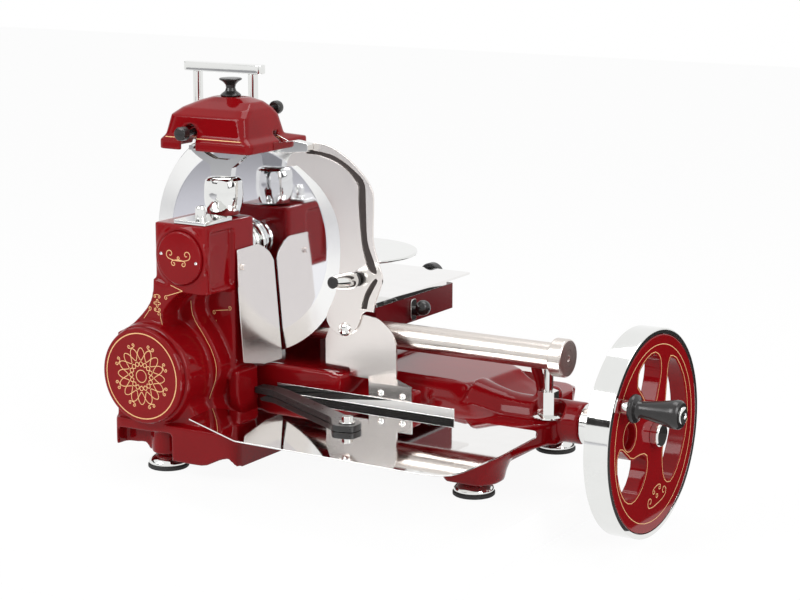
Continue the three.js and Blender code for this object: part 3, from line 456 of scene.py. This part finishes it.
# %% The four feet
FEET = {
    "foot_front_left": (-40, -129),
    "foot_front_right": (359, -32),
    "foot_back_right": (352, 202),
    "foot_back_left": (-41, 194),
}
BELL = [(0, 6), (25, 6), (25.6, 8), (24.6, 11), (21, 14.5), (16, 17.5), (11, 19), (11, 20), (0, 20)]
PAD = [(0, 0), (25, 0), (26.5, 1.2), (26.5, 4.8), (25, 6), (0, 6)]
for foot, centre in FEET.items():
    turned(foot + "_bell", "Z", centre, BELL, chrome, [foot])
    turned(foot + "_pad", "Z", centre, PAD, rubber, [], body="machine")
print("feet made:", len(FEET))

# %% [markdown]
# ## Blade and axle
# The blade is a thin disc, flat in the middle and ground to a long bevel at the rim. It turns on
# an axle in a polished housing. All three are profiles round one axis, the blade's with twice
# the usual steps, because its rim is the longest curve that shows.

# %% The blade and the axle
BLADE_AT = (0, BLADE_UP)
BORE = 20.3
turned("blade_disc", "Y", BLADE_AT, [
    (BORE, -1.5), (BLADE_RADIUS - 27, -1.5), (BLADE_RADIUS - 24, -0.9), (BLADE_RADIUS - 0.6, 1.1),
    (BLADE_RADIUS, 1.5), (BORE, 1.5),
], blade_finish, ["blade"], ease=0.1, steps=192)
turned("axle_and_hub", "Y", BLADE_AT, [
    (0, -110), (7, -110), (7, -58), (12, -58), (12, -7.5), (29, -7.5), (30, -6.5), (30, -1.8),
    (20, -1.8), (20, 1.2), (0, 1.2),
], chrome, ["blade_axle"])
turned("axle_housing_sleeve", "Y", BLADE_AT, [
    (13, -38), (24, -38), (24, -24), (22.5, -22), (22.5, -12), (24, -10), (24, -8), (13, -8),
], chrome, ["axle_housing"])
print("blade made, across", 2 * BLADE_RADIUS, "mm")

# %% [markdown]
# ## The two round covers
# Turned lids close the drum and the head. The lower one has a gold ring brushed on its face. Two
# close rings in the profile leave a narrow band of faces between them, and that band is painted,
# so the line is as flat as paint. Two very small screws hold the upper lid.

# %% The covers, the lower one with its gold ring
DRUM_X, DRUM_Z = -49, 127
DRUM_FACE = -170
RING_INSIDE, RING_OUTSIDE = 54.8, 56.2


def on_drum_ring(place, normal):
    out = math.hypot(place.x - DRUM_X, place.z - DRUM_Z)
    return normal.y < -FACING and RING_INSIDE < out < RING_OUTSIDE


turned("drum_cover", "Y", (DRUM_X, DRUM_Z), [
    (0, DRUM_FACE), (RING_INSIDE, DRUM_FACE), (RING_OUTSIDE, DRUM_FACE), (58, DRUM_FACE), (61, -169.2),
    (62.5, -166.5), (62.5, -160.3), (53.5, -160.3), (53.5, -156), (0, -156),
], red, ["lower_gear_cover"], ease=0.6, accent=gold, chosen=on_drum_ring)
HEAD_COVER_FACE = -152
turned("head_cover", "Y", BLADE_AT, [
    (0, HEAD_COVER_FACE), (31, HEAD_COVER_FACE), (33.4, -151), (34, -149), (34, -145.3),
    (25.5, -145.3), (25.5, -142), (0, -142),
], red, ["upper_gear_cover"], ease=0.6)
SCREW_OUT, SCREW_DROP = 27, 4
for side in (-1, 1):
    place = (SCREW_OUT * side, BLADE_UP - SCREW_DROP * side)
    turned(f"head_cover_screw_{side + 2}", "Y", place, [
        (0, -152.8), (1.6, -152.7), (2.1, -152), (2.1, -151), (0, -151),
    ], chrome, [], ease=0, steps=24, body="machine")
print("covers made at", (DRUM_X, DRUM_Z), "and", BLADE_AT)

# %% [markdown]
# ## Flywheel parts that are turned
# The rim is a band of chromed steel round the disc, the hub ends in a chromed cap, and the black
# grip turns freely on its pin. The profiles of cap, pin and grip count from the wheel's face, so
# those parts stay together.

# %% Rim, cap, collar and grip
WHEEL_AT = (50, 87)
WHEEL_BACK, WHEEL_FACE = 531.5, 563.5
WHEEL_RADIUS = 129.5
RIM_INSIDE = WHEEL_RADIUS - 7
GRIP_AT = (WHEEL_AT[0] - 0.71 * WHEEL_RADIUS, WHEEL_AT[1] + 0.417 * WHEEL_RADIUS)
GRIP_START = WHEEL_FACE + 11.5
GRIP_END = GRIP_START + 65
turned("wheel_rim", "X", WHEEL_AT, [
    (RIM_INSIDE, WHEEL_BACK), (WHEEL_RADIUS, WHEEL_BACK), (WHEEL_RADIUS, WHEEL_FACE),
    (RIM_INSIDE, WHEEL_FACE),
], chrome, ["flywheel_rim"], ease=1.2, steps=192)
turned("wheel_hub_cap", "X", WHEEL_AT, [
    (0, WHEEL_FACE + 0.3), (15, WHEEL_FACE + 0.3), (15, WHEEL_FACE + 9), (13.6, WHEEL_FACE + 11.2),
    (10, WHEEL_FACE + 12), (0, WHEEL_FACE + 12),
], chrome, ["flywheel_hub_cap"])
turned("wheel_collar", "X", WHEEL_AT, [
    (7.3, 472.3), (24.5, 472.3), (26, 473.7), (26, 541.2), (7.3, 541.2),
], chrome, ["shaft_collar"])
turned("grip_pin", "X", GRIP_AT, [
    (0, WHEEL_FACE - 13), (5, WHEEL_FACE - 13), (5, WHEEL_FACE + 0.3), (8, WHEEL_FACE + 0.3),
    (9, WHEEL_FACE + 2), (9, GRIP_START - 2), (8, GRIP_START - 0.3), (4, GRIP_START - 0.3),
    (4, GRIP_END - 1), (0, GRIP_END - 1),
], chrome, ["crank_pin"])
turned("grip_handle", "X", GRIP_AT, [
    (4.4, GRIP_START), (14, GRIP_START), (16.8, GRIP_START + 1.6), (17.5, GRIP_START + 4.5),
    (16.5, GRIP_START + 7.5), (11.5, GRIP_START + 9.5), (10.2, GRIP_START + 12), (10.2, GRIP_START + 16),
    (12, GRIP_START + 28), (15.2, GRIP_START + 46), (17.1, GRIP_START + 54), (17.5, GRIP_START + 58),
    (16.8, GRIP_START + 62), (14.8, GRIP_START + 64.4), (12, GRIP_END), (4.4, GRIP_END),
], black, ["crank_grip"])
turned("grip_screw", "X", GRIP_AT, [
    (0, GRIP_END + 0.3), (10.5, GRIP_END + 0.3), (10.2, GRIP_END + 1.6), (8, GRIP_END + 2.6),
    (4, GRIP_END + 3), (3, GRIP_END + 1.6), (0, GRIP_END + 1.4),
], chrome, ["grip_end_screw"], ease=0.2)
print("wheel made, across", 2 * WHEEL_RADIUS, "mm; the grip sits at", tuple(round(x, 1) for x in GRIP_AT))

# %% [markdown]
# ## Guide tube
# The carriage slides on a thick polished tube that ends in a heavier cap. The cap's end was faced
# on the lathe, so only the faces that look along the tube get the finish with rings.

# %% Tube and cap
TUBE_AT = (TUBE_Y, TUBE_Z)
turned("carriage_tube", "X", TUBE_AT, [(0, -158), (17, -158), (17, 436.7), (0, 436.7)],
       tube_steel, ["guide_tube"], ease=1)
turned("carriage_tube_cap", "X", TUBE_AT, [
    (0, 437), (22.5, 437), (23.9, 438.5), (23.9, 454), (22.4, 455.8), (4, 455.8), (3, 454.8), (0, 454.4),
], tube_steel, ["guide_tube_cap"], accent=faced_steel, chosen=lambda place, normal: normal.x > 0.8)
print("nodes dressed after the tube:", len(dressed))

# %% [markdown]
# ## The gauge plate's handle, bolts and screws
# Small turned parts set the scale of the machine, so each keeps its own profile. The handle
# tips up a little towards the hand, so its parts are turned straight and then tipped together
# round the point where the handle meets the plate.

# %% Handle, pivot bolt and bracket screws
HANDLE_ROOT = Vector((172, -8.6, 247.5))
HANDLE_LEAN = Matrix.Rotation(math.radians(-5.5), 4, "X")


def handle_part(name, profile, finish, nodes):
    shape = spun(profile, ease=0.3)
    move = Matrix.Translation(HANDLE_ROOT) @ HANDLE_LEAN @ SPIN_TO["Y"]
    bmesh.ops.transform(shape, matrix=move, verts=shape.verts)
    finished(name, shape, finish, nodes, body="guard_grip")


handle_part("gauge_handle", [
    (0, -52.8), (7.5, -52.8), (9, -42), (10.5, -28), (11, -17), (10.6, -12), (9.6, -8.6), (4, -8.6),
    (4, -0.3), (0, -0.3),
], chrome, ["guard_handle"])
handle_part("gauge_handle_end", [
    (0, -55.5), (6.4, -55.5), (7.6, -54.6), (7.6, -52.9), (0, -52.9),
], black, [])
handle_part("gauge_handle_ring", [(4.1, -8.4), (9.5, -8.4), (9.5, -3.2), (4.1, -3.2)], black, [])
turned("gauge_bolt", "Y", (155, 181), [
    (0, -14), (4, -13.8), (7.5, -12.2), (9, -9.6), (9, -8.6), (4, -8.6), (4, -1), (0, -1),
], chrome, ["pivot_bolt"])
for side, place in {"left": (223, 111), "right": (255, 110)}.items():
    turned("bracket_screw_dome_" + side, "Y", place, [
        (0, -34.4), (2.6, -34), (4.2, -32.6), (4.6, -31.3), (2.5, -31.3), (2.5, -28.3), (0, -28.3),
    ], chrome, ["bracket_screw_" + side], ease=0, steps=48)
print("nodes dressed after the handle:", len(dressed))

# %% [markdown]
# ## The sharpener's turned parts
# The sharpener is worked by hand from three sides: a spool to turn on top, a button in front and
# a knob behind. The cup that hangs under its hood is a thin bell, so its profile runs down
# outside and back up inside, and the wall has a real thickness.

# %% Spool, cup, knob and button
turned("sharpener_spool_knob", "Z", (-15, -14), [
    (0, 471.3), (13, 471.3), (13.6, 473), (11, 475.4), (7.4, 478), (6, 482), (6.8, 486), (10, 489.6),
    (14.6, 492.4), (15, 493.6), (13.6, 494.7), (6, 495), (0, 495),
], black, ["sharpener_knob"], ease=0.3)
turned("sharpening_cup", "Z", (4, -59), [
    (5.3, 373), (17, 373), (20.6, 372), (23.4, 369.4), (24.7, 363.5), (25.2, 355), (25.3, 348), (24.8, 341),
    (23.5, 335), (22, 329.6), (20.5, 325.5), (18.8, 325.5), (21.5, 335), (23.3, 348), (23, 362), (20, 368),
    (5.3, 368),
], chrome, ["sharpener_cup"], ease=0.2)
turned("sharpener_rear_knob", "Y", (27, 455), [
    (0, 2), (3, 2), (3, 22), (7.4, 22), (8.6, 23.4), (9, 25.4), (9, 30), (8, 33), (5, 35.4), (0, 36),
], black, ["rear_knob"], ease=0.3)
turned("sharpener_push_button", "Y", (-41, 428), [
    (0, -92), (6, -92), (8.2, -91), (9, -89), (9, -80), (8, -78.4), (4, -77), (4, -7), (0, -7),
], black, ["push_button"], ease=0.3)
print("nodes dressed after the sharpener's parts:", len(dressed))

# %% [markdown]
# ## The table's knob and the press rods
# A black knob at the back feeds the table towards the blade. The press for the meat slides on two
# plain chromed rods, which stand on the table.

# %% Feed knob and press rods
turned("table_feed_knob", "Y", (122, 205), [
    (0, 255.3), (7, 255.3), (7, 258), (14.4, 258.6), (16, 260.6), (16, 271), (14.8, 273.6), (11, 275.6),
    (0, 276),
], black, ["feed_knob"], ease=0.3)
ROD_RADIUS, ROD_FOOT, ROD_TOP = 7, 216.3, 482
for side, x in {"left": -190, "right": -96}.items():
    turned("press_rod_" + side, "Z", (x, 150), [
        (0, ROD_FOOT), (ROD_RADIUS, ROD_FOOT), (ROD_RADIUS, ROD_TOP), (0, ROD_TOP),
    ], chrome, ["press_post_" + side], ease=0.5, steps=64)
print("nodes dressed after the rods:", len(dressed))

# %% [markdown]
# ## Pieces whose CAD shape is right
# Plates, bars and brackets are already true in the CAD model, but their edges are razor sharp.
# They could be modelled again, but a copy can't drift from the model. A copy of the node is
# merged, its flat faces are joined, and a small bevel is cut on its edges.

# %% A copy of a CAD node with broken edges
def merged_copy(node):
    shape = bmesh.new()
    shape.from_mesh(frame["nodes"][node].data)
    bmesh.ops.transform(shape, matrix=MACHINE_TO_FRAME.inverted(), verts=shape.verts)
    bmesh.ops.remove_doubles(shape, verts=shape.verts, dist=0.01)
    bmesh.ops.dissolve_limit(shape, angle_limit=math.radians(1), verts=shape.verts, edges=shape.edges)
    return shape


def eased_copy(node, finish, width, accent=None, chosen=None):
    shape = merged_copy(node)
    eased(shape, width)
    if accent:
        painted(shape, chosen)
    return finished(node + "_eased", shape, finish, [node], accent=accent)


EASED = {
    "column_top_plate": (chrome, 0.8), "tube_post": (chrome, 0.5), "carriage_frame": (dark_red, 0.9),
    "rear_rail": (steel_across, 0.6), "product_table": (mirror_steel, 0.5), "press_crossbar": (chrome, 1.6),
    "press_carrier": (chrome, 1.2), "press_plate": (chrome, 1.2), "lever_plate": (chrome, 0.5),
    "support_plate": (steel_across, 0.3), "deflector_plate": (steel_upright, 0.2),
    "sharpener_yoke": (chrome, 1.2), "sharpener_bracket": (chrome, 0.8), "tray": (mirror_steel, 0.3),
    "tray_arm": (black_iron, 0.9), "tray_bolt": (chrome, 0.5),
}
for node, (finish, width) in EASED.items():
    eased_copy(node, finish, width)
print("eased copies:", len(EASED))

# %% [markdown]
# ## The gauge plate
# The tall steel plate round the blade has two shallow grooves, which look nearly black. The
# grooves are cut in the CAD model already. Only their floors get painted shade, a near black,
# so the walls still catch the light.

# %% The plate and the painted shade on the floors of its grooves
GAUGE_FRONT = -8.3
GROOVE_DEPTH = 2.2
GROOVE_FLOOR = GAUGE_FRONT + GROOVE_DEPTH


# The faces that take the painted groove shade are the groove floors that face forward.
def in_groove(place, normal):
    return abs(place.y - GROOVE_FLOOR) < 0.3 and normal.y < -FACING


gauge_plate = eased_copy("gauge_plate", steel_upright, 0.4, accent=painted_groove_shade, chosen=in_groove)
print("painted faces in the grooves:", sum(face.material_index for face in gauge_plate.data.polygons))

# %% [markdown]
# ## The ball lever
# The lever is a bar of black plastic with a ball at its end, turned in one piece. Its profile
# runs along the bar and then round the ball, and the whole is aimed from its hub at its ball.

# %% Bar, ball and hub
LEVER_HUB = Vector((200, 100, 190))
LEVER_BALL = Vector((215, 86, 199))
BALL = 10
reach = (LEVER_BALL - LEVER_HUB).length
bar_profile = [(0, 0), (4.6, 0), (4.2, 6), (3.6, reach - BALL - 1)]
ball_profile = [
    (BALL * math.sin(math.radians(turn)), reach - BALL * math.cos(math.radians(turn)))
    for turn in range(24, 180, 12)
]
lever = spun([*bar_profile, *ball_profile, (0, reach + BALL)])
aim = (LEVER_BALL - LEVER_HUB).to_track_quat("Z", "Y").to_matrix().to_4x4()
bmesh.ops.transform(lever, matrix=Matrix.Translation(LEVER_HUB) @ aim, verts=lever.verts)
finished("ball_lever_bar", lever, black, ["ball_lever"])
turned("ball_lever_hub", "X", (100, 190), [
    (0, 193.3), (6, 193.3), (6, 201), (4.6, 203), (0, 203),
], black, [], body="lever")
print("lever's reach", round(reach, 1), "mm")

# %% [markdown]
# ## Castings
# Iron castings have no sharp corner anywhere: sand moulds round the edges, and the enamel fills
# what is left. A bevel would have to solve every corner where three ribs meet. A voxel remesh of
# the merged CAD shape, then a few rounds of smoothing, rounds every edge and fills every inner
# corner at once. The gold line round the sharpener's hood is cut in with two planes, and the
# band between them is painted.

# %% Cast iron under enamel
SAND_ROUNDS = 8
HOOD_LINE = (420.6, 421.6)


def cast_copy(name, node, voxel, line=None):
    shape = bmesh.new()
    shape.from_mesh(frame["nodes"][node].data)
    bmesh.ops.remove_doubles(shape, verts=shape.verts, dist=0.00001)
    mesh = bpy.data.meshes.new(name)
    shape.to_mesh(mesh)
    shape.free()
    rough = bpy.data.objects.new(name + "_rough", mesh)
    bpy.context.scene.collection.objects.link(rough)
    remesh = rough.modifiers.new("voxels", "REMESH")
    remesh.mode = "VOXEL"
    remesh.voxel_size = voxel * MM
    smooth = rough.modifiers.new("sand mould", "SMOOTH")
    smooth.factor = 0.5
    smooth.iterations = SAND_ROUNDS
    cast = bmesh.new()
    cast.from_object(rough, bpy.context.evaluated_depsgraph_get())
    bpy.data.objects.remove(rough)
    bmesh.ops.transform(cast, matrix=MACHINE_TO_FRAME.inverted(), verts=cast.verts)
    if line:
        for height in line:
            everything = [*cast.verts, *cast.edges, *cast.faces]
            bmesh.ops.bisect_plane(cast, geom=everything, plane_co=(0, 0, height), plane_no=(0, 0, 1))
        painted(cast, lambda place, normal: line[0] < place.z < line[1] and abs(normal.z) < 0.6)
    print(name, len(cast.faces), "faces")
    return finished(name, cast, red, [node], crease=NO_CREASES, accent=gold if line else None)


cast_copy("bed", "base_casting", 2.6)
cast_copy("column", "column_casting", 2.0)
cast_copy("sharpener_hood", "sharpener_cover", 1.4, line=HOOD_LINE)

# %% [markdown]
# ## The flywheel's disc
# The disc is cast too, but its face is machined flat. Its openings have well rounded edges, and a
# gold line follows each of them. Insetting the face twice leaves a narrow band of faces that
# runs beside every opening, and that band is painted.

# %% The disc and the gold lines round its openings
LINE_OFFSET, LINE_WIDTH = 1.0, 0.9
HUB_EDGE, OPENINGS_END = 24, 106
disc = merged_copy("flywheel")
eased(disc, 3, angle=50, segments=4)
face_of_wheel = [
    face for face in disc.faces
    if face.normal.x > 0.99 and face.calc_center_median().x > WHEEL_FACE - 0.1
]
for width in (LINE_OFFSET, LINE_WIDTH):
    made = bmesh.ops.inset_region(disc, faces=face_of_wheel, thickness=width, use_boundary=True,
                                  use_even_offset=True)


def beside_an_opening(face):
    place = face.calc_center_median()
    return HUB_EDGE < math.hypot(place.y - WHEEL_AT[0], place.z - WHEEL_AT[1]) < OPENINGS_END


gold_faces = [face for face in made["faces"] if beside_an_opening(face)]
for face in gold_faces:
    face.material_index = 1
print("faces in the gold lines:", len(gold_faces))
finished("flywheel_disc", disc, red, ["flywheel"], accent=gold)

# %% [markdown]
# ## Gold ornament
# Machines of this kind carry pinstripes, curls and rosettes, drawn by brush in gold. They could
# be cut into each surface, but that would break up the castings. So a stroke is a thin curve,
# made a mesh, pressed nearly flat and laid on its surface. The ornament here is plain turners'
# and sign painters' stock: rings, a laced rosette and small curls.

# %% Strokes of the brush
ON_FRONT = Matrix(((1, 0, 0, 0), (0, 0, -1, 0), (0, 1, 0, 0), (0, 0, 0, 1)))
ON_RIGHT = SPIN_TO["X"]
PAINT_RELIEF = 0.3


def brushed_gold(name, strokes, facing, depth, width, body):
    drawing = bpy.data.curves.new(name + "_drawing", "CURVE")
    drawing.dimensions = "3D"
    drawing.bevel_depth = width / 2
    drawing.bevel_resolution = 2
    drawing.resolution_u = 4
    drawing.use_fill_caps = True
    for stroke in strokes:
        closed = stroke[0] == stroke[-1]
        points = stroke[:-1] if closed else stroke
        spline = drawing.splines.new("BEZIER")
        spline.use_cyclic_u = closed
        spline.bezier_points.add(len(points) - 1)
        for knot, (across, up) in zip(spline.bezier_points, points):
            knot.co = (across, up, 0)
            knot.handle_left_type = knot.handle_right_type = "AUTO"
    holder = bpy.data.objects.new(name + "_drawing", drawing)
    bpy.context.scene.collection.objects.link(holder)
    drawn = holder.evaluated_get(bpy.context.evaluated_depsgraph_get())
    shape = bmesh.new()
    shape.from_mesh(bpy.data.meshes.new_from_object(drawn))
    bpy.data.objects.remove(holder)
    laid = Matrix.Translation((0, depth, 0) if facing is ON_FRONT else (depth, 0, 0)) @ facing
    pressed = Matrix.Diagonal((1, 1, PAINT_RELIEF, 1))
    bmesh.ops.transform(shape, matrix=laid @ pressed, verts=shape.verts)
    print(name, len(strokes), "strokes")
    return finished(name, shape, gold, [], body=body)


# %% [markdown]
# ## Curls and rosettes
# A curl is a spiral that closes in on its middle. A rosette is a circle whose radius swings as
# often as it has petals, and with no swing it is a plain ring. Two such shapes with opposite
# swings lace through each other. A double curl is one stroke with a curl at either end.

# %% The strokes as lists of points
CURL_CLOSES = 0.8
CURL_ROUNDS = 1.1
CURL_STEPS = 10
DOUBLE_CURL_DIP = 1.25
STEPS_PER_PETAL = 8


def on_circle(centre, radius, turn):
    return centre[0] + radius * math.cos(turn), centre[1] + radius * math.sin(turn)


def curl(centre, size, start, way):
    shares = [step / CURL_STEPS for step in range(CURL_STEPS + 1)]
    return [
        on_circle(centre, size * (1 - CURL_CLOSES * share), start + way * CURL_ROUNDS * math.tau * share)
        for share in shares
    ]


def rosette(centre, radius, swing, petals, phase=0.0):
    steps = petals * STEPS_PER_PETAL
    turns = [math.tau * step / steps for step in range(steps)]
    points = [
        on_circle(centre, radius + swing * math.cos(petals * turn + phase), turn) for turn in turns
    ]
    return points + points[:1]


def double_curl(centre, width, size, lean=0.0):
    down = -math.pi / 2
    left = curl((-width / 2, 0), size, down, -1)
    right = curl((width / 2, 0), size, down, 1)
    stroke = left[::-1] + [(0, -size * DOUBLE_CURL_DIP)] + right
    return [(centre[0] + x * math.cos(lean) - y * math.sin(lean),
             centre[1] + x * math.sin(lean) + y * math.cos(lean)) for x, y in stroke]


print("steps to a petal:", STEPS_PER_PETAL)

# %% [markdown]
# ## Ornament on the covers
# The drum's cover has two laced rosettes, one inside the other, a ring in their middle and small
# curls all round. The head's cover is small, and two double curls and a dot fill it.

# %% The ornament of the two round covers
DRUM_MIDDLE = (DRUM_X, DRUM_Z)
PETALS = 8
CURLS_OUT = 41
laced = [
    rosette(DRUM_MIDDLE, radius, swing, PETALS, phase)
    for radius, swing in ((29, 8), (16, 3)) for phase in (0, math.pi)
]
laced.append(rosette(DRUM_MIDDLE, 8, 0, 4))
for step in range(PETALS):
    turn = math.tau * (step + 0.5) / PETALS
    laced.append(double_curl(on_circle(DRUM_MIDDLE, CURLS_OUT, turn), 7, 2.4, turn - math.pi / 2))
brushed_gold("drum_rosette", laced, ON_FRONT, DRUM_FACE, 1.0, "machine")
brushed_gold("head_cover_curls", [
    double_curl((0, 286), 26, 6.5), double_curl((0, 274), 15, 4, math.pi), rosette((0, 281.5), 1.6, 0, 4),
], ON_FRONT, HEAD_COVER_FACE, 1.0, "machine")

# %% [markdown]
# ## Lines on the column and the wheel
# The column has three faces at different depths, and the lines, curls and rosettes of each are
# drawn at its own depth. The wheel has a thin ring inside its rim and a pair of double curls
# below its hub. Those ride on the wheel, so that they turn with it.

# %% Lines and curls on the column
WEB_FACE, RECESS_FACE, RIB_FACE = -148, -86, -112
brushed_gold("web_pinstripes", [
    [(-22, 230.4), (2.5, 238.8)], [(-16, 244.6), (2.5, 238.8)], curl((-23.6, 227.5), 3, 1.2, 1),
    [(-51, 208.6), (-61.9, 194.2)], [(-61.9, 194.2), (-29.5, 188.3)], [(-29.5, 188.3), (-33.6, 202.6)],
    curl((-50, 211.6), 3, 4.1, 1), curl((-35.6, 205.2), 3, 5.4, 1),
    rosette((-38, 219), 3.6, 1.6, 4), double_curl((-38, 227.6), 6, 2.2, math.pi),
    double_curl((-38, 211), 6, 2.2),
], ON_FRONT, WEB_FACE, 0.9, "machine")
brushed_gold("recess_curls", [
    [(8, 203.6), (28, 206.6)], curl((6, 200.8), 3, 1.4, 1), curl((30, 209.4), 3, 4.4, 1),
    rosette((4, 190), 3.4, 1.5, 4),
], ON_FRONT, RECESS_FACE, 0.9, "machine")
brushed_gold("rib_pinstripe", [
    [(-12, 219), (-9, 200), (9, 174), (21.5, 153), (26.5, 130), (14, 92)],
], ON_FRONT, RIB_FACE, 0.8, "machine")

# %% The flywheel's ring and curls
WHEEL_RING = 110
brushed_gold("wheel_ring", [rosette(WHEEL_AT, WHEEL_RING, 0, 12)], ON_RIGHT, WHEEL_FACE, 0.9, "wheel")
CURLS_LEAN = 0.14
curls_y, curls_z = WHEEL_AT[0] + 12, WHEEL_AT[1] - 82
brushed_gold("wheel_curls", [
    double_curl((curls_y, curls_z), 40, 7.5, CURLS_LEAN),
    double_curl((curls_y - 1, curls_z + 9), 16, 4, math.pi + CURLS_LEAN),
    rosette((curls_y, curls_z + 1), 2.4, 0, 4),
], ON_RIGHT, WHEEL_FACE, 1.0, "wheel")

# %% [markdown]
# ## Hidden mechanism
# Gears, chain and shafts sit inside the castings and show only from below, and the two stones
# are deep inside the sharpener. Their CAD shapes are right and stay as they are. They get oiled
# iron, turned steel and stone.

# %% Finishes for the nodes that stay
KEPT = {
    "flywheel_shaft": steel_across, "cross_shaft": steel_across,
    "stone_front": stone, "stone_rear": stone,
}
for node, part in frame["nodes"].items():
    if node not in dressed:
        part.data.materials.clear()
        part.data.materials.append(KEPT.get(node, iron).material)
print("nodes kept:", sorted(set(frame["nodes"]) - dressed))

# %% [markdown]
# ## Floor and plinth
# The studio is a pale floor with a low plinth, because the wheel's rim hangs a little below the
# feet. A brighter lamp would whiten the paper but would bleach the machine too. So the paper
# glows where the camera or a reflection sees it, keeps a little of its shading for the shadow,
# and adds no light to the machine.

# %% The paper, the floor and the plinth
def staged(name, low, high, finish):
    shape = bmesh.new()
    bmesh.ops.create_cube(shape, size=1)
    size = Vector(high) - Vector(low)
    bmesh.ops.scale(shape, vec=size, verts=shape.verts)
    bmesh.ops.translate(shape, vec=(Vector(high) + Vector(low)) / 2, verts=shape.verts)
    mesh = bpy.data.meshes.new(name)
    shape.to_mesh(mesh)
    shape.free()
    mesh.materials.append(finish)
    piece = bpy.data.objects.new(name, mesh)
    bpy.context.scene.collection.objects.link(piece)
    piece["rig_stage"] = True
    return piece


def seen_directly(nodes):
    seen = 0.0
    for kind in ("Is Camera Ray", "Is Glossy Ray", "Is Transmission Ray"):
        ray = nodes.node("ShaderNodeLightPath", output=kind)
        seen = nodes.node("ShaderNodeMath", {"operation": "MAXIMUM"}, {0: seen, 1: ray})
    return seen


GLOW_SHARE = 0.94
GROUND, FLOOR_UNDERSIDE = -0.046, -0.066
paper = Finish("studio_paper", (0.93, 0.93, 0.93), Roughness=0.9)
lit_paper = Signal(paper, paper.shader.outputs["BSDF"])
glow = paper.node("ShaderNodeEmission", {}, {"Color": (1, 1, 1, 1), "Strength": 1.0})
shown = paper.node("ShaderNodeMixShader", {}, {0: seen_directly(paper) * GLOW_SHARE, 1: lit_paper, 2: glow})
paper.join(paper.tree.nodes["Material Output"].inputs["Surface"], shown)
staged("studio_floor", (-6, -6, FLOOR_UNDERSIDE), (6, 6, GROUND), paper.material)
staged("studio_plinth", (-0.60, -0.50, GROUND), (0.262, 0.45, 0), paper.material)
print("floor", round(-GROUND / MM), "mm under the feet")

# %% [markdown]
# ## Cards for the reflections
# Polished metal shows only what stands round it, and in a white room it turns to milk. Studios
# put dark cards beside it, which give the plates and the chrome their edges. Here one card is
# grey and five are nearly black. Only reflections see them: they are left out of the camera's
# view, of the diffuse light and of the shadows.

# %% One grey card and five dark ones
flag = Finish("studio_flag", (0.012, 0.010, 0.010), Roughness=0.9)
shade = Finish("studio_shade", (0.54, 0.54, 0.57), Roughness=0.9)
CARDS = {
    "shade_front": (shade, (-3.0, -4.0, -0.046), (-0.5, -1.6, -0.044)),
    "flag_behind": (flag, (0.15, 0.52, -0.046), (1.8, 0.53, 0.12)),
    "flag_right": (flag, (0.40, 0.02, -0.044), (1.8, 0.52, -0.042)),
    "flag_front_high": (flag, (-2.6, -3.02, 0.95), (-0.4, -3.0, 1.5)),
    "flag_side_high": (flag, (2.6, -1.6, 0.5), (2.62, 0.6, 1.0)),
    "flag_left_high": (flag, (-2.42, -1.6, 0.8), (-2.4, 1.0, 1.3)),
}
for name, (finish, low, high) in CARDS.items():
    card = staged(name, low, high, finish.material)
    card.visible_camera = False
    card.visible_diffuse = False
    card.visible_shadow = False
print("cards round the metal:", len(CARDS))

# %% [markdown]
# ## The world and the lamps
# The world is white where it is seen and dimmer where it lights, by the same test as the paper.
# Large soft lamps give long highlights on enamel and chrome: one from the front left, one from
# the right and one from above and behind.

# %% A white world and three soft lamps
MIX_FIRST_NUMBER, MIX_SECOND_NUMBER = 2, 3
AIR_LIGHT = 0.55
world = bpy.data.worlds.new("studio")
bpy.context.scene.world = world
world.use_nodes = True
air = Nodes(world.node_tree)
sky = air.tree.nodes["Background"]
brightness = {MIX_SHARE: seen_directly(air), MIX_FIRST_NUMBER: AIR_LIGHT, MIX_SECOND_NUMBER: 1.0}
air.join(sky.inputs["Color"], (1, 1, 1, 1))
air.join(sky.inputs["Strength"], air.node("ShaderNodeMix", {}, brightness))


def lamp(name, place, aim, size, power):
    light = bpy.data.lights.new(name, "AREA")
    light.shape = "RECTANGLE"
    light.size, light.size_y = size
    light.energy = power
    made = bpy.data.objects.new(name, light)
    made.location = place
    made.rotation_euler = (Vector(aim) - Vector(place)).to_track_quat("-Z", "Y").to_euler()
    bpy.context.scene.collection.objects.link(made)
    print(name, power, "watts")


lamp("key_softbox", (-1.2, -2.2, 1.9), (0, 0, 0.2), (1.4, 1.4), 42)
lamp("side_softbox", (2.2, -0.6, 1.3), (0.1, 0, 0.15), (0.9, 1.6), 26)
lamp("top_softbox", (0.2, 0.5, 2.2), (0, 0, 0.1), (1.8, 1.0), 19)

# %% [markdown]
# ## The camera
# The photograph was taken from the right of the front and from a little above, with a long lens.
# The place and the turn of the camera were fitted to it once and are kept as plain numbers.

# %% The camera at the photograph's angle
AROUND, ABOVE = 31.4, 11.6
camera_data = bpy.data.cameras.new("camera")
camera_data.lens = 95.4
camera_data.sensor_width = 36
camera = bpy.data.objects.new("camera", camera_data)
camera.location = to_frame(1596, -2234, 763.5)
camera.rotation_euler = (math.radians(90 - ABOVE), 0, math.radians(AROUND))
bpy.context.scene.collection.objects.link(camera)
bpy.context.scene.camera = camera
bpy.context.scene.view_settings.view_transform = "Standard"
print("camera at", tuple(round(x, 3) for x in camera.location))

# %% [markdown]
# ## Sizes, and the end
# The box round the dressed machine is printed. The dressed machine has to stay inside the
# CAD model's box.

# %% The machine's box and the last line
low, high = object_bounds()
print("visual box", [round(x, 4) for x in (*low, *high)])
